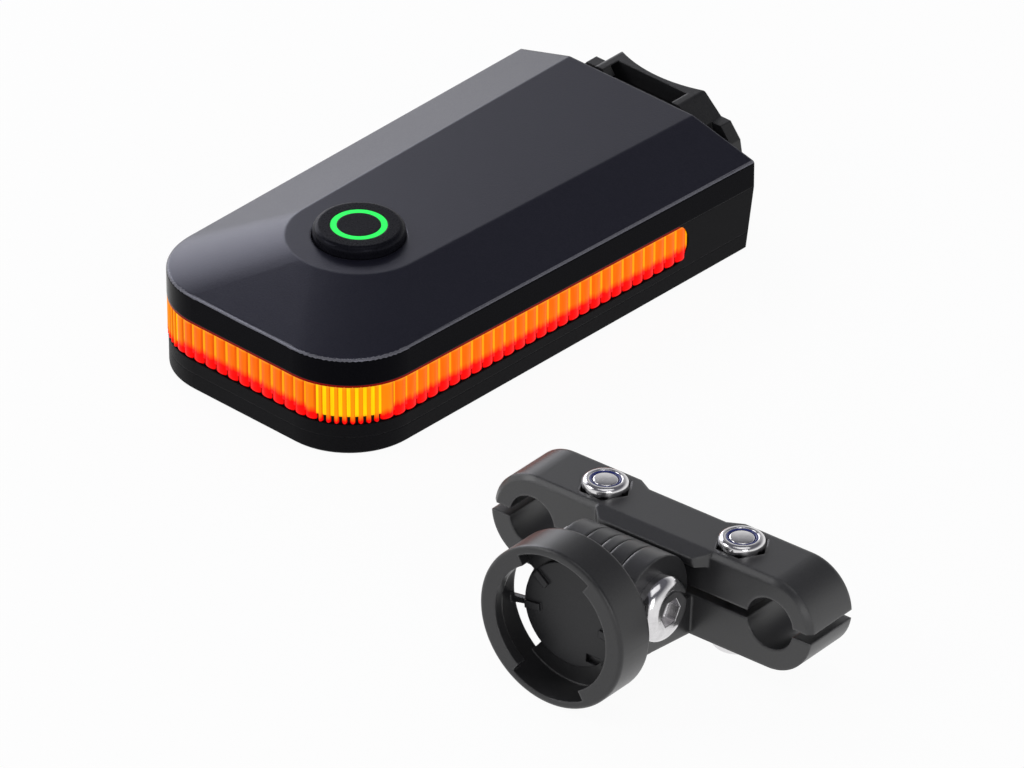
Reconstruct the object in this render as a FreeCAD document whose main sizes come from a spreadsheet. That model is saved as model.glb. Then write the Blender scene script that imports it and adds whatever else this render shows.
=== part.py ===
import FreeCAD, Part
import math
import os
import Sketcher
from FreeCAD import Vector

# A rear bike light with a quarter-turn mount, its seat-post adapter, and a
# two-bolt saddle-rail bracket with a tilting quarter-turn socket that stands
# beside it. Millimetres, +Z up. The light points along -Y.

doc = FreeCAD.newDocument("TailLight")
sheet = doc.addObject("Spreadsheet::Sheet", "Sizes")
rows = []


class Size:
    """A number together with the expression that makes it from the sheet."""

    def __init__(self, value, text=None):
        self.value = float(value)
        self.text = text if text is not None else repr(float(value))

    def join(self, other, sign):
        other = wrap(other)
        if sign == "+":
            value = self.value + other.value
        elif sign == "-":
            value = self.value - other.value
        elif sign == "*":
            value = self.value * other.value
        else:
            value = self.value / other.value
        return Size(value, "(" + self.text + " " + sign + " " + other.text + ")")

    def __add__(self, other):
        return self.join(other, "+")

    def __sub__(self, other):
        return self.join(other, "-")

    def __mul__(self, other):
        return self.join(other, "*")

    def __truediv__(self, other):
        return self.join(other, "/")

    def __radd__(self, other):
        return wrap(other).join(self, "+")

    def __rsub__(self, other):
        return wrap(other).join(self, "-")

    def __rmul__(self, other):
        return wrap(other).join(self, "*")

    def __neg__(self):
        return wrap(0).join(self, "-")


def wrap(number):
    return number if isinstance(number, Size) else Size(number)


def root(size):
    return Size(math.sqrt(size.value), "sqrt(" + size.text + ")")


def sine(angle):
    return Size(math.sin(math.radians(angle.value)), "sin(" + angle.text + " * 1 deg)")


def cosine(angle):
    return Size(math.cos(math.radians(angle.value)), "cos(" + angle.text + " * 1 deg)")


def angle_of(rise, run):
    value = math.degrees(math.atan2(rise.value, run.value))
    return Size(value, "(atan(" + rise.text + " / " + run.text + ") / 1 deg)")


def whole(size):
    return Size(max(1, math.floor(size.value + 0.5)), "max(1; round(" + size.text + "))")


def size(name, value):
    """One driving size: a cell with an alias."""
    rows.append(name)
    cell = "B%d" % len(rows)
    sheet.set("A%d" % len(rows), name)
    sheet.set(cell, str(value))
    sheet.setAlias(cell, name)
    return Size(value, "Sizes." + name)


# Sizes of the light
body_width = size("body_width", 50.0)
body_length = size("body_length", 89.6)
side_taper = size("side_taper", 0.022)
corner_radius = size("corner_radius", 12.5)
rise = size("rise", 0.018)
seam_height = size("seam_height", 11.05)
band_height = size("band_height", 4.62)
crown_height = size("crown_height", 4.03)
crown_width = size("crown_width", 26.3)
crown_taper = size("crown_taper", 0.026)
crown_lean = size("crown_lean", 1.2)
crown_blend = size("crown_blend", 8.0)
crease_round = size("crease_round", 0.8)
edge_round = size("edge_round", 0.6)
cover_wall = size("cover_wall", 1.8)
roof_wall = size("roof_wall", 1.6)
base_height = size("base_height", 3.1)
base_inset = size("base_inset", 0.2)
base_round = size("base_round", 0.4)
base_hollow = size("base_hollow", 1.4)
far_lean = size("far_lean", 1.5)
far_wall = size("far_wall", 2.4)
floor_wall = size("floor_wall", 1.05)
seal_inset = size("seal_inset", 0.5)
seal_width = size("seal_width", 0.8)
seal_height = size("seal_height", 0.6)
nest = size("nest_clearance", 0.05)
free_gap = size("moving_clearance", 0.3)

lens_low = size("lens_low", 4.2)
lens_rise = size("lens_rise", 0.014)
lens_wall = size("lens_wall", 1.8)
lens_start = size("lens_start", 17.4)
lens_end_bow = size("lens_end_bow", 2.5)
flute_pitch = size("flute_pitch", 2.35)
flute_depth = size("flute_depth", 0.45)

guide_gap = size("guide_gap", 0.3)
guide_wall = size("guide_wall", 1.2)
board_height = size("board_height", 5.2)
board_thick = size("board_thick", 1.0)
board_inset = size("board_inset", 4.0)
led_long = size("led_length", 3.0)
led_deep = size("led_depth", 1.4)
led_tall = size("led_height", 1.0)
led_pitch = size("led_pitch", 7.0)
cell_side = size("cell_side", 12.0)
cell_long = size("cell_length", 38.0)
cell_tall = size("cell_height", 8.0)
cell_start = size("cell_start", 13.5)
cell_round = size("cell_round", 2.0)
post_radius = size("post_radius", 2.6)
post_side = size("post_side", 9.0)
post_far = size("post_far", 18.0)
post_near = size("post_near", 66.4)
screw_radius = size("screw_radius", 1.0)
screw_long = size("screw_length", 9.0)
screw_head_radius = size("screw_head_radius", 1.9)
screw_head_tall = size("screw_head_height", 1.2)
screw_play = size("screw_clearance", 0.2)
pilot_deep = size("pilot_depth", 5.0)
head_sunk = size("head_sunk", 0.2)

button_back = size("button_back", 63.5)
button_radius = size("button_radius", 7.2)
button_proud = size("button_proud", 1.9)
button_travel = size("button_travel", 0.8)
button_round = size("button_round", 0.9)
button_play = size("button_clearance", 0.15)
flange_radius = size("flange_radius", 8.4)
flange_tall = size("flange_height", 1.0)
stem_radius = size("stem_radius", 1.8)
ring_outer = size("ring_outer", 4.45)
ring_inner = size("ring_inner", 3.43)
ring_deep = size("ring_depth", 1.2)
ring_play = size("ring_clearance", 0.03)
switch_wide = size("switch_width", 6.0)
switch_tall = size("switch_height", 3.5)
plunger_radius = size("plunger_radius", 1.5)
plunger_reach = size("plunger_reach", 1.6)
plunger_proud = size("plunger_proud", 1.4)
plunger_play = size("plunger_clearance", 0.08)
status_ahead = size("status_ahead", 6.2)
status_wide = size("status_width", 1.6)
status_deep = size("status_depth", 0.9)
status_tall = size("status_height", 0.7)

port_back = size("port_back", 7.9)
port_wide = size("port_width", 8.94)
port_tall = size("port_height", 3.26)
port_deep = size("port_depth", 7.3)
port_skin = size("port_skin", 0.3)
tongue_wide = size("tongue_width", 6.7)
tongue_tall = size("tongue_height", 0.7)
tongue_deep = size("tongue_depth", 5.2)
flap_wide = size("flap_width", 10.4)
flap_tall = size("flap_height", 5.2)
flap_thick = size("flap_thickness", 1.1)
flap_round = size("flap_round", 1.2)
plug_short = size("plug_shorter", 0.7)
plug_deep = size("plug_depth", 1.6)

# Sizes of the quarter-turn mount
turn_height = size("turn_height", 9.7)
core_radius = size("core_radius", 9.9)
core_sill = size("core_sill", 0.5)
core_sunk = size("core_sunk", 1.2)
tab_radius = size("tab_radius", 11.5)
tab_half = size("tab_half", 5.6)
tab_thick = size("tab_thickness", 1.3)
tab_play = size("tab_clearance", 0.15)
lip_thick = size("lip_thickness", 2.0)
core_play = size("core_clearance", 0.2)
slot_play = size("slot_clearance", 0.3)
boss_screw_x = size("boss_screw_x", 6.2)
boss_screw_z = size("boss_screw_z", 3.2)
boss_screw_long = size("boss_screw_length", 3.9)

adapter_gap = size("adapter_gap", 0.3)
adapter_half = size("adapter_half", 9.3)
adapter_top = size("adapter_top", 8.8)
adapter_waist = size("adapter_waist", 12.3)
adapter_step = size("adapter_step", 3.2)
adapter_side = size("adapter_side", 13.6)
adapter_slot = size("adapter_slot", 39.0)
adapter_deep = size("adapter_depth", 6.1)
adapter_floor = size("adapter_floor", 0.8)
saddle_radius = size("saddle_radius", 23.4)
ear_half = size("ear_half", 17.0)
ear_thick = size("ear_thickness", 2.3)
ear_flat = size("ear_flat", 14.3)
pad_width = size("pad_width", 14.0)
pad_height = size("pad_height", 13.0)
pad_thick = size("pad_thickness", 0.8)
pad_sunk = size("pad_sunk", 0.4)

# Sizes of the saddle-rail bracket
rail_spacing = size("rail_spacing", 44.0)
rail_diameter = size("rail_diameter", 7.0)
slit = size("slit", 1.4)
bar_half = size("bar_half", 7.5)
bar_depth = size("bar_depth", 10.2)
bar_chamfer = size("bar_chamfer", 0.8)
waist_half = size("waist_half", 7.1)
waist_deep = size("waist_depth", 1.4)
waist_jog = size("waist_jog", 2.5)
ledge_half = size("ledge_half", 8.7)
ledge_reach = size("ledge_reach", 1.8)
ledge_drop = size("ledge_drop", 0.9)
ledge_thick = size("ledge_thickness", 1.5)
bolt_spacing = size("bolt_spacing", 25.2)
bolt_back = size("bolt_back", 5.2)
bolt_radius = size("bolt_radius", 2.0)
bolt_play = size("bolt_clearance", 0.15)
bolt_head_radius = size("bolt_head_radius", 3.8)
bolt_head_tall = size("bolt_head_height", 2.2)
bolt_round = size("bolt_head_round", 0.9)
bolt_socket = size("bolt_socket", 2.5)
nut_flats = size("nut_flats", 7.0)
nut_tall = size("nut_height", 5.0)
nut_proud = size("nut_proud", 1.0)
nut_play = size("nut_clearance", 0.1)
nut_collar = size("nut_collar", 1.1)
nylon_wall = size("nylon_wall", 0.85)
nylon_deep = size("nylon_depth", 0.9)
cap_drop = size("cap_drop", 1.3)
hinge_ahead = size("hinge_ahead", 9.4)
hinge_height = size("hinge_height", 1.7)
barrel_radius = size("barrel_radius", 8.0)
stack_half = size("stack_half", 7.8)
outer_ear = size("outer_ear", 3.6)
middle_ear = size("middle_ear", 1.8)
ear_play = size("ear_clearance", 0.25)
pivot_radius = size("pivot_radius", 3.0)
pivot_play = size("pivot_clearance", 0.06)
pivot_head_radius = size("pivot_head_radius", 5.2)
pivot_head_tall = size("pivot_head_height", 3.0)
pivot_socket = size("pivot_socket", 4.0)
pivot_round = size("pivot_head_round", 2.0)
pivot_nut_flats = size("pivot_nut_flats", 10.0)
pivot_nut_tall = size("pivot_nut_height", 5.0)
pivot_nut_sunk = size("pivot_nut_sunk", 2.0)

socket_radius = size("socket_radius", 13.05)
socket_depth = size("socket_depth", 6.8)
socket_back = size("socket_back", 8.3)
socket_lip = size("socket_lip_radius", 10.15)
socket_bore = size("socket_bore", 11.8)
socket_slot = size("socket_slot", 33.0)
socket_round = size("socket_round", 0.6)
socket_wall = size("socket_wall", 1.0)
finger_half = size("finger_half", 6.0)
detent_radius = size("detent_radius", 8.4)
detent_thick = size("detent_thickness", 0.8)
rib_high = size("rib_height", 0.5)
rib_wide = size("rib_width", 1.2)
rib_long = size("rib_length", 2.9)
key_x = size("key_x", 4.5)
key_low = size("key_low", 6.1)
key_wide = size("key_width", 2.7)
key_tall = size("key_height", 1.4)

# Where the bracket stands beside the light
bracket_x = size("bracket_x", 84.15)
bracket_y = size("bracket_y", 0.2)
bracket_turn = size("bracket_turn", 5.2)
doc.recompute()

# Helpers


def role(body, name):
    for item in body.Origin.OriginFeatures:
        if item.Role == name:
            return item
    raise ValueError(name)


def new_body(label):
    body = doc.addObject("PartDesign::Body", label)
    body.Label = label
    return body


def place_text(x, y, z, yaw=0, roll=0):
    spot = "create(<<vector>>; %s; %s; %s)" % (wrap(x).text, wrap(y).text, wrap(z).text)
    turn = "create(<<rotation>>; %s; 0; %s)" % (wrap(yaw).text, wrap(roll).text)
    return "create(<<placement>>; %s; %s)" % (spot, turn)


def attach(item, body, plane, x=0, y=0, z=0, yaw=0, roll=0):
    """Ties a sketch or primitive to one of its body's planes.

    x, y, z and the turn are measured in that plane's own axes."""
    item.AttachmentSupport = [(role(body, plane), "")]
    item.MapMode = "FlatFace"
    item.setExpression("AttachmentOffset", place_text(x, y, z, yaw, roll))
    return item


def sketch(body, name, plane="XY_Plane", x=0, y=0, z=0, yaw=0, roll=0):
    made = body.newObject("Sketcher::SketchObject", name)
    return attach(made, body, plane, x, y, z, yaw, roll)


def tie(made, kind, edge, spot, size_value):
    if spot is None:
        index = made.addConstraint(Sketcher.Constraint(kind, edge, size_value.value))
    else:
        index = made.addConstraint(Sketcher.Constraint(kind, edge, spot, size_value.value))
    made.setExpression("Constraints[%d]" % index, size_value.text)


def outline(made, points, arcs=None):
    """A closed outline. arcs maps an edge's number to (radius, bulge), where
    bulge is 1 for an edge that bows to the right of its way and -1 to the left."""
    arcs = arcs or {}
    points = [(wrap(p[0]), wrap(p[1])) for p in points]
    first = made.GeometryCount
    count = len(points)
    ends = []
    for i in range(count):
        start = Vector(points[i][0].value, points[i][1].value, 0)
        stop_point = points[(i + 1) % count]
        stop = Vector(stop_point[0].value, stop_point[1].value, 0)
        if i in arcs:
            radius, bulge = arcs[i]
            along = stop - start
            half = along.Length / 2
            rest = math.sqrt(radius.value ** 2 - half ** 2)
            left = Vector(-along.y, along.x, 0).normalize()
            centre = (start + stop) * 0.5 + left * (rest * bulge)
            one = start if bulge > 0 else stop
            two = stop if bulge > 0 else start
            low = math.atan2(one.y - centre.y, one.x - centre.x)
            high = math.atan2(two.y - centre.y, two.x - centre.x)
            if high < low:
                high += 2 * math.pi
            ring_of = Part.Circle(centre, Vector(0, 0, 1), radius.value)
            made.addGeometry(Part.ArcOfCircle(ring_of, low, high), False)
            ends.append((1, 2) if bulge > 0 else (2, 1))
        else:
            made.addGeometry(Part.LineSegment(start, stop), False)
            ends.append((1, 2))
    for i in range(count):
        j = (i + 1) % count
        link = Sketcher.Constraint("Coincident", first + i, ends[i][1], first + j, ends[j][0])
        made.addConstraint(link)
    for i in range(count):
        tie(made, "DistanceX", first + i, ends[i][0], points[i][0])
        tie(made, "DistanceY", first + i, ends[i][0], points[i][1])
    for i in arcs:
        tie(made, "Radius", first + i, None, arcs[i][0])
    return made


def circle(made, x, y, radius):
    x = wrap(x)
    y = wrap(y)
    edge = made.addGeometry(Part.Circle(Vector(x.value, y.value, 0), Vector(0, 0, 1), radius.value), False)
    tie(made, "DistanceX", edge, 3, x)
    tie(made, "DistanceY", edge, 3, y)
    tie(made, "Radius", edge, None, radius)
    return made


def rectangle(made, low_x, low_y, high_x, high_y):
    return outline(made, [(low_x, low_y), (high_x, low_y), (high_x, high_y), (low_x, high_y)])


def hexagon(made, x, y, flats, turned=False):
    """A hexagon with its corners along the sketch's X, or along Y if turned."""
    reach = flats / math.sqrt(3)
    half = flats / 2
    points = [(reach, 0), (reach / 2, half), (-(reach / 2), half)]
    points += [(-reach, 0), (-(reach / 2), -half), (reach / 2, -half)]
    if turned:
        points = [(wrap(p[1]), -wrap(p[0])) for p in points]
    return outline(made, [(x + wrap(p[0]), y + wrap(p[1])) for p in points])


def pad(body, name, made, length, back=False):
    item = body.newObject("PartDesign::Pad", name)
    item.Profile = made
    item.Reversed = back
    item.setExpression("Length", wrap(length).text)
    return item


def pocket(body, name, made, length, back=False):
    item = body.newObject("PartDesign::Pocket", name)
    item.Profile = made
    item.Reversed = back
    item.setExpression("Length", wrap(length).text)
    return item


def loft(body, kind, name, low, high):
    item = body.newObject("PartDesign::" + kind + "Loft", name)
    item.Profile = low
    item.Sections = [high]
    item.Ruled = True
    return item


def drill(body, name, x, y, z, radius, length, axis="Z", kind="Subtractive"):
    """A round hole, or a round boss, that starts at x, y, z and runs along an axis."""
    item = body.newObject("PartDesign::" + kind + "Cylinder", name)
    if axis == "Z":
        attach(item, body, "XY_Plane", x, y, z)
    elif axis == "X":
        attach(item, body, "YZ_Plane", y, z, x)
    else:
        attach(item, body, "XZ_Plane", x, z, -wrap(y))
    item.setExpression("Radius", wrap(radius).text)
    item.setExpression("Height", wrap(length).text)
    return item


def soften(body, name, made, radius, wanted, kind="Fillet"):
    """Rounds or chamfers the edges of the feature made that wanted picks."""
    doc.recompute()
    picked = []
    for number, edge in enumerate(made.Shape.Edges):
        if edge.Length > 1e-3 and wanted(edge):
            picked.append("Edge%d" % (number + 1))
    if not picked:
        raise ValueError(name + " finds no edge")
    item = body.newObject("PartDesign::" + kind, name)
    item.Base = (made, picked)
    item.setExpression("Radius" if kind == "Fillet" else "Size", wrap(radius).text)
    return item


def middle(edge):
    return edge.valueAt((edge.FirstParameter + edge.LastParameter) / 2)


def box(label, x, y, z, wide, deep, tall):
    item = doc.addObject("Part::Box", label)
    item.setExpression("Length", wrap(wide).text)
    item.setExpression("Width", wrap(deep).text)
    item.setExpression("Height", wrap(tall).text)
    item.setExpression("Placement", place_text(x, y, z))
    return item


nodes = []


def keep(item, label, group):
    item.Label = label
    nodes.append((label, item, group))
    return item


# The light's outline

# The plan view tapers towards the near end, where two arcs round the corners.
# Every height of the housing follows a floor that rises gently to the near end.

slant = angle_of(rise, wrap(1))
side_angle = angle_of(side_taper, wrap(1))
side_q = root(1 + side_taper * side_taper)
near_y = -(body_length - corner_radius)
near_x = body_width / 2 + side_taper * near_y - corner_radius * side_q


def side_x(y, inset=0):
    """Half the plan width at y, less an inset measured square to the side."""
    return body_width / 2 + side_taper * y - wrap(inset) * side_q


def plan(made, inset, far_y):
    """The plan outline, drawn from the far left corner round the near end."""
    radius = corner_radius - inset
    tangent_x = near_x + radius / side_q
    tangent_y = near_y - radius * side_taper / side_q
    low_y = near_y - radius
    far_x = side_x(far_y, inset)
    points = [
        (-far_x, far_y),
        (-tangent_x, tangent_y),
        (-near_x, low_y),
        (near_x, low_y),
        (tangent_x, tangent_y),
        (far_x, far_y),
    ]
    return outline(made, points, {1: (radius, 1), 3: (radius, 1)})


# The crown, the flat top, ends in a half circle about the button.
crown_q = root(1 + crown_taper * crown_taper)
crown_radius = (crown_width / 2 - crown_taper * button_back) / crown_q


def crown(made, inset, far_y):
    radius = crown_radius - inset
    tangent_x = radius / crown_q
    tangent_y = -(button_back + radius * crown_taper / crown_q)
    split_x = radius * sine(crown_blend)
    split_y = -(button_back + radius * cosine(crown_blend))
    far_x = crown_width / 2 + crown_taper * far_y - wrap(inset) * crown_q
    points = [
        (-far_x, far_y),
        (-tangent_x, tangent_y),
        (-split_x, split_y),
        (split_x, split_y),
        (tangent_x, tangent_y),
        (far_x, far_y),
    ]
    return outline(made, points, {1: (radius, 1), 2: (radius, 1), 3: (radius, 1)})


band_top = seam_height + band_height
crown_top = band_top + crown_height
crown_y = -crown_lean

# Top cover

cover = new_body("top_cover")
cover_seam = plan(sketch(cover, "CoverSeam", z=seam_height, roll=-slant), wrap(0), wrap(0))
cover_band = plan(sketch(cover, "CoverBand", z=band_top, roll=-slant), wrap(0), wrap(0))
cover_crown = crown(sketch(cover, "CoverCrown", z=crown_top, roll=-slant), wrap(0), crown_y)
loft(cover, "Additive", "CoverSides", cover_seam, cover_band)
cover_slopes = loft(cover, "Additive", "CoverSlopes", cover_band, cover_crown)


def near_plane(edge, level, low, high):
    """True where an edge lies within a band of height over the rising plane."""
    spot = middle(edge)
    over = spot.z + spot.y * rise.value - level.value
    return low < over < high


def is_crease(edge):
    flat = near_plane(edge, crown_top, -0.05, 0.05) and middle(edge).y < crown_y.value - 0.2
    return flat and edge.Length > 2


def is_shoulder(edge):
    return near_plane(edge, band_top, -0.05, 0.05) and middle(edge).y < -0.2


creased = soften(cover, "CrownCrease", cover_slopes, crease_round, is_crease)
soften(cover, "Shoulder", creased, edge_round, is_shoulder)

slope_run = body_width / 2 - crown_width / 2
roof_fall = crown_height / slope_run
inner_band_top = band_top - roof_wall * 1.06 + cover_wall * roof_fall
inner_far = -cover_wall
low_in = plan(sketch(cover, "InnerSeam", z=seam_height, roll=-slant), cover_wall, inner_far)
high_in = plan(sketch(cover, "InnerBand", z=inner_band_top, roll=-slant), cover_wall, inner_far)
top_z = crown_top - roof_wall
top_in = crown(sketch(cover, "InnerCrown", z=top_z, roll=-slant), wrap(0.3), inner_far)
loft(cover, "Subtractive", "CoverHollow", low_in, high_in)
loft(cover, "Subtractive", "CoverRoof", high_in, top_in)

# the button's hole, square to the crown
hole = sketch(cover, "ButtonHole", z=crown_top + roof_wall, roll=-slant)
circle(hole, 0, -button_back, button_radius + button_play)
pocket(cover, "ButtonOpening", hole, roof_wall * 3)

# a groove in the rim for the seal
groove = sketch(cover, "SealGroove", z=seam_height, roll=-slant)
plan(groove, seal_inset, -seal_inset)
plan(groove, seal_inset + seal_width, -(seal_inset + seal_width))
pocket(cover, "SealSeat", groove, seal_height, True)

# four screw posts hang from the roof down to the board
board_top = board_height + board_thick
post_x = body_width / 2 - post_side
posts = [(1, post_far), (-1, post_far), (1, post_near), (-1, post_near)]
for number, (sign, back) in enumerate(posts):
    spot = sketch(cover, "PostCircle%d" % number, z=board_top)
    circle(spot, post_x * sign, -back, post_radius)
    reach = top_z + rise * back - board_top - (post_x - crown_width / 2) * roof_fall
    pad(cover, "Post%d" % number, spot, reach)
    drill(cover, "Pilot%d" % number, post_x * sign, -back, board_top, screw_radius, pilot_deep)
keep(cover, "top_cover", "light")

seal = new_body("cover_seal")
loop = sketch(seal, "SealLoop", z=seam_height, roll=-slant)
plan(loop, seal_inset, -seal_inset)
plan(loop, seal_inset + seal_width, -(seal_inset + seal_width))
pad(seal, "SealRing", loop, seal_height)
keep(seal, "cover_seal", "light")

# Fluted side lens

# A horseshoe band round the near end. Grooves between two arcs leave a row of
# rounded flutes; a row runs down each side, round each corner and across the end.


def lens_z(back):
    return lens_low + lens_rise * back


def seam_z(back):
    return seam_height + rise * back


lens_half = (seam_z(lens_start) - lens_z(lens_start)) / 2
lens_far = lens_start - lens_end_bow


def horseshoe(made, outer, inner, far_y):
    """A band between two insets of the plan, open at the far end."""
    big = corner_radius - outer
    small = corner_radius - inner
    points = [
        (-side_x(far_y, outer), far_y),
        (-(near_x + big / side_q), near_y - big * side_taper / side_q),
        (-near_x, near_y - big),
        (near_x, near_y - big),
        (near_x + big / side_q, near_y - big * side_taper / side_q),
        (side_x(far_y, outer), far_y),
        (side_x(far_y, inner), far_y),
        (near_x + small / side_q, near_y - small * side_taper / side_q),
        (near_x, near_y - small),
        (-near_x, near_y - small),
        (-(near_x + small / side_q), near_y - small * side_taper / side_q),
        (-side_x(far_y, inner), far_y),
    ]
    arcs = {1: (big, 1), 3: (big, 1), 7: (small, -1), 9: (small, -1)}
    return outline(made, points, arcs)


side_run = (body_length - corner_radius - lens_far) * side_q
side_count = whole(side_run / flute_pitch)
corner_sweep = 90 - side_angle
corner_count = whole(corner_radius * corner_sweep * (math.pi / 180) / flute_pitch)
near_count = whole(2 * near_x / flute_pitch)


def plan_path(cusp):
    """Points along the plan from the left end of the lens round to the right one.

    Every second point is a flute's crown, on the plan; the others are the
    cusps between two flutes, inset by cusp."""
    steps = []
    theta = math.radians(side_angle.value)
    outward = Vector(math.cos(theta), -math.sin(theta), 0)
    along = Vector(math.sin(theta), math.cos(theta), 0)
    centre = Vector(near_x.value, near_y.value, 0)
    tangent = centre + outward * corner_radius.value
    count = int(side_count.value) * 2
    for i in range(count + 1):
        steps.append((tangent + along * (side_run.value * (count - i) / count), outward))
    count = int(corner_count.value) * 2
    sweep = math.radians(corner_sweep.value)
    for i in range(1, count + 1):
        angle = -theta - sweep * i / count
        way = Vector(math.cos(angle), math.sin(angle), 0)
        steps.append((centre + way * corner_radius.value, way))
    count = int(near_count.value) * 2
    corner = centre + Vector(0, -corner_radius.value, 0)
    for i in range(1, count):
        steps.append((corner - Vector(2 * near_x.value * i / count, 0, 0), Vector(0, -1, 0)))
    flip = [(Vector(-p.x, p.y, 0), Vector(-w.x, w.y, 0)) for p, w in steps]
    half_way = int(side_count.value + corner_count.value) * 2
    steps = flip[:half_way + 1] + list(reversed(steps[half_way + 1:])) + list(reversed(steps[:half_way + 1]))
    made = []
    for i, (spot, way) in enumerate(steps):
        made.append(spot - way * (cusp if i % 2 == 0 else 0.0))
    return made


def lens_wire(level, climb):
    """The lens's closed outline on the plane that rises by climb from level."""
    flat = plan_path(flute_depth.value)
    inner = corner_radius.value - lens_wall.value
    theta = math.radians(side_angle.value)
    centre = Vector(near_x.value, near_y.value, 0)
    edge_x = side_x(-lens_far, lens_wall).value
    tangent = centre + Vector(math.cos(theta), -math.sin(theta), 0) * inner
    middle_angle = -(theta + math.pi / 2) / 2
    bulge = centre + Vector(math.cos(middle_angle), math.sin(middle_angle), 0) * inner
    low = centre + Vector(0, -inner, 0)
    back = [Vector(edge_x, -lens_far.value, 0), tangent, bulge, low]
    mirror = [Vector(-p.x, p.y, 0) for p in reversed(back)]

    def lift(p):
        return Vector(p.x, p.y, level - climb * p.y)

    flat = [lift(p) for p in flat]
    back = [lift(p) for p in back]
    mirror = [lift(p) for p in mirror]
    edges = []
    for i in range(0, len(flat) - 2, 2):
        edges.append(Part.Arc(flat[i], flat[i + 1], flat[i + 2]).toShape())
    edges.append(Part.LineSegment(flat[-1], back[0]).toShape())
    edges.append(Part.LineSegment(back[0], back[1]).toShape())
    edges.append(Part.Arc(back[1], back[2], back[3]).toShape())
    edges.append(Part.LineSegment(back[3], mirror[0]).toShape())
    edges.append(Part.Arc(mirror[0], mirror[1], mirror[2]).toShape())
    edges.append(Part.LineSegment(mirror[2], mirror[3]).toShape())
    edges.append(Part.LineSegment(mirror[3], flat[0]).toShape())
    return Part.Wire(edges)


band = Part.makeLoft([lens_wire(lens_low.value, lens_rise.value), lens_wire(seam_height.value, rise.value)],
                     True, True)

# the ends are bowed, as seen from the side
start_y = -lens_start.value
low_z = lens_z(lens_start).value
high_z = seam_z(lens_start).value
bow_x = -body_width.value
bow_low = Vector(bow_x, start_y, low_z)
bow_high = Vector(bow_x, start_y, high_z)
bow_tip = Vector(bow_x, -lens_far.value, (low_z + high_z) / 2)
rim = [
    bow_high,
    Vector(bow_x, start_y, high_z + 3),
    Vector(bow_x, 3 - lens_far.value, high_z + 3),
    Vector(bow_x, 3 - lens_far.value, low_z - 3),
    Vector(bow_x, start_y, low_z - 3),
    bow_low,
]
bow_edges = [Part.LineSegment(rim[i], rim[i + 1]).toShape() for i in range(5)]
bow_edges.append(Part.Arc(bow_low, bow_tip, bow_high).toShape())
bow_cutter = Part.Face(Part.Wire(bow_edges)).extrude(Vector(body_width.value * 2, 0, 0))
lens = doc.addObject("Part::Feature", "side_lens")
lens.Shape = band.cut(bow_cutter)
keep(lens, "side_lens", "light")

# Lower housing

# A tub with full walls at the far end and a low rim where the lens sits.
# Its far face leans in towards the bottom.

housing_far = -(far_lean * 0.7)
tub = new_body("lower_housing")
tub_low = plan(sketch(tub, "TubLow", z=base_height), base_inset, housing_far)
tub_high = plan(sketch(tub, "TubHigh", z=seam_height, roll=-slant), wrap(0), wrap(0))
loft(tub, "Additive", "TubOuter", tub_low, tub_high)
tub_floor = base_height + floor_wall
tub_in_low = plan(sketch(tub, "TubFloor", z=tub_floor), cover_wall + base_inset, -far_wall)
tub_in_high = plan(sketch(tub, "TubRim", z=seam_height, roll=-slant), cover_wall, -far_wall)
loft(tub, "Subtractive", "TubHollow", tub_in_low, tub_in_high)
window = sketch(tub, "LensWindow", "YZ_Plane", z=-body_width)
window_bow = lens_end_bow + nest
window_half = lens_half + nest
window_radius = (window_half * window_half + window_bow * window_bow) / (2 * window_bow)
window_points = [
    (-lens_start, lens_z(lens_start) - nest),
    (-(body_length + 2), lens_z(body_length + 2) - nest),
    (-(body_length + 2), seam_z(body_length + 2) + 1),
    (-lens_start, seam_z(lens_start) + 1),
    (-lens_start, seam_z(lens_start) + nest),
]
outline(window, window_points, {4: (window_radius, -1)})
pocket(tub, "LensOpening", window, body_width * 2, True)
for number, (sign, back) in enumerate(posts):
    drill(tub, "Foot%d" % number, post_x * sign, -back, base_height, post_radius,
          board_height - base_height, "Z", "Additive")
    drill(tub, "FootHole%d" % number, post_x * sign, -back, base_height - 1, screw_radius + screw_play,
          board_height - base_height + 2)

# the charging port's hole, and the shallow seat of its flap on the left side
port_z = board_top + port_tall / 2
flap_play = free_gap
seat = sketch(tub, "FlapSeat", x=-(body_width / 2), z=port_z - flap_tall / 2 - flap_play, yaw=side_angle)
seat_far = -(port_back - flap_wide / 2 - flap_play)
seat_near = -(port_back + flap_wide / 2 + flap_play)
rectangle(seat, wrap(-2), seat_near, flap_thick + flap_play, seat_far)
pocket(tub, "FlapRecess", seat, flap_tall + flap_play * 2, True)
port_half = port_tall / 2 + nest


def stadium(made, x, y, wide, half):
    """A slot shape with rounded ends along the sketch's X."""
    flat = wide / 2 - half
    reach = flat + half * math.sqrt(0.5)
    side = half * math.sqrt(0.5)
    points = [
        (x - flat, y - half),
        (x + flat, y - half),
        (x + reach, y - side),
        (x + reach, y + side),
        (x + flat, y + half),
        (x - flat, y + half),
        (x - reach, y + side),
        (x - reach, y - side),
    ]
    round_edge = (half, 1)
    return outline(made, points, {i: round_edge for i in (1, 2, 3, 5, 6, 7)})


opening = sketch(tub, "PortHole", "YZ_Plane", z=-(body_width / 2 + 1))
stadium(opening, -port_back, port_z, port_wide + nest * 2, port_half)
pocket(tub, "PortOpening", opening, far_wall + 1.6, True)

# the seat of the quarter-turn boss in the far wall, shared with cover and seal
core_half = turn_height - base_height - core_sill


def truncated(made, radius, half):
    """A disc with two flats, above and below its centre."""
    reach = root(radius * radius - half * half)
    points = [(-reach, -half), (reach, -half), (reach, half), (-reach, half)]
    return outline(made, points, {1: (radius, 1), 3: (radius, 1)})


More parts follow.
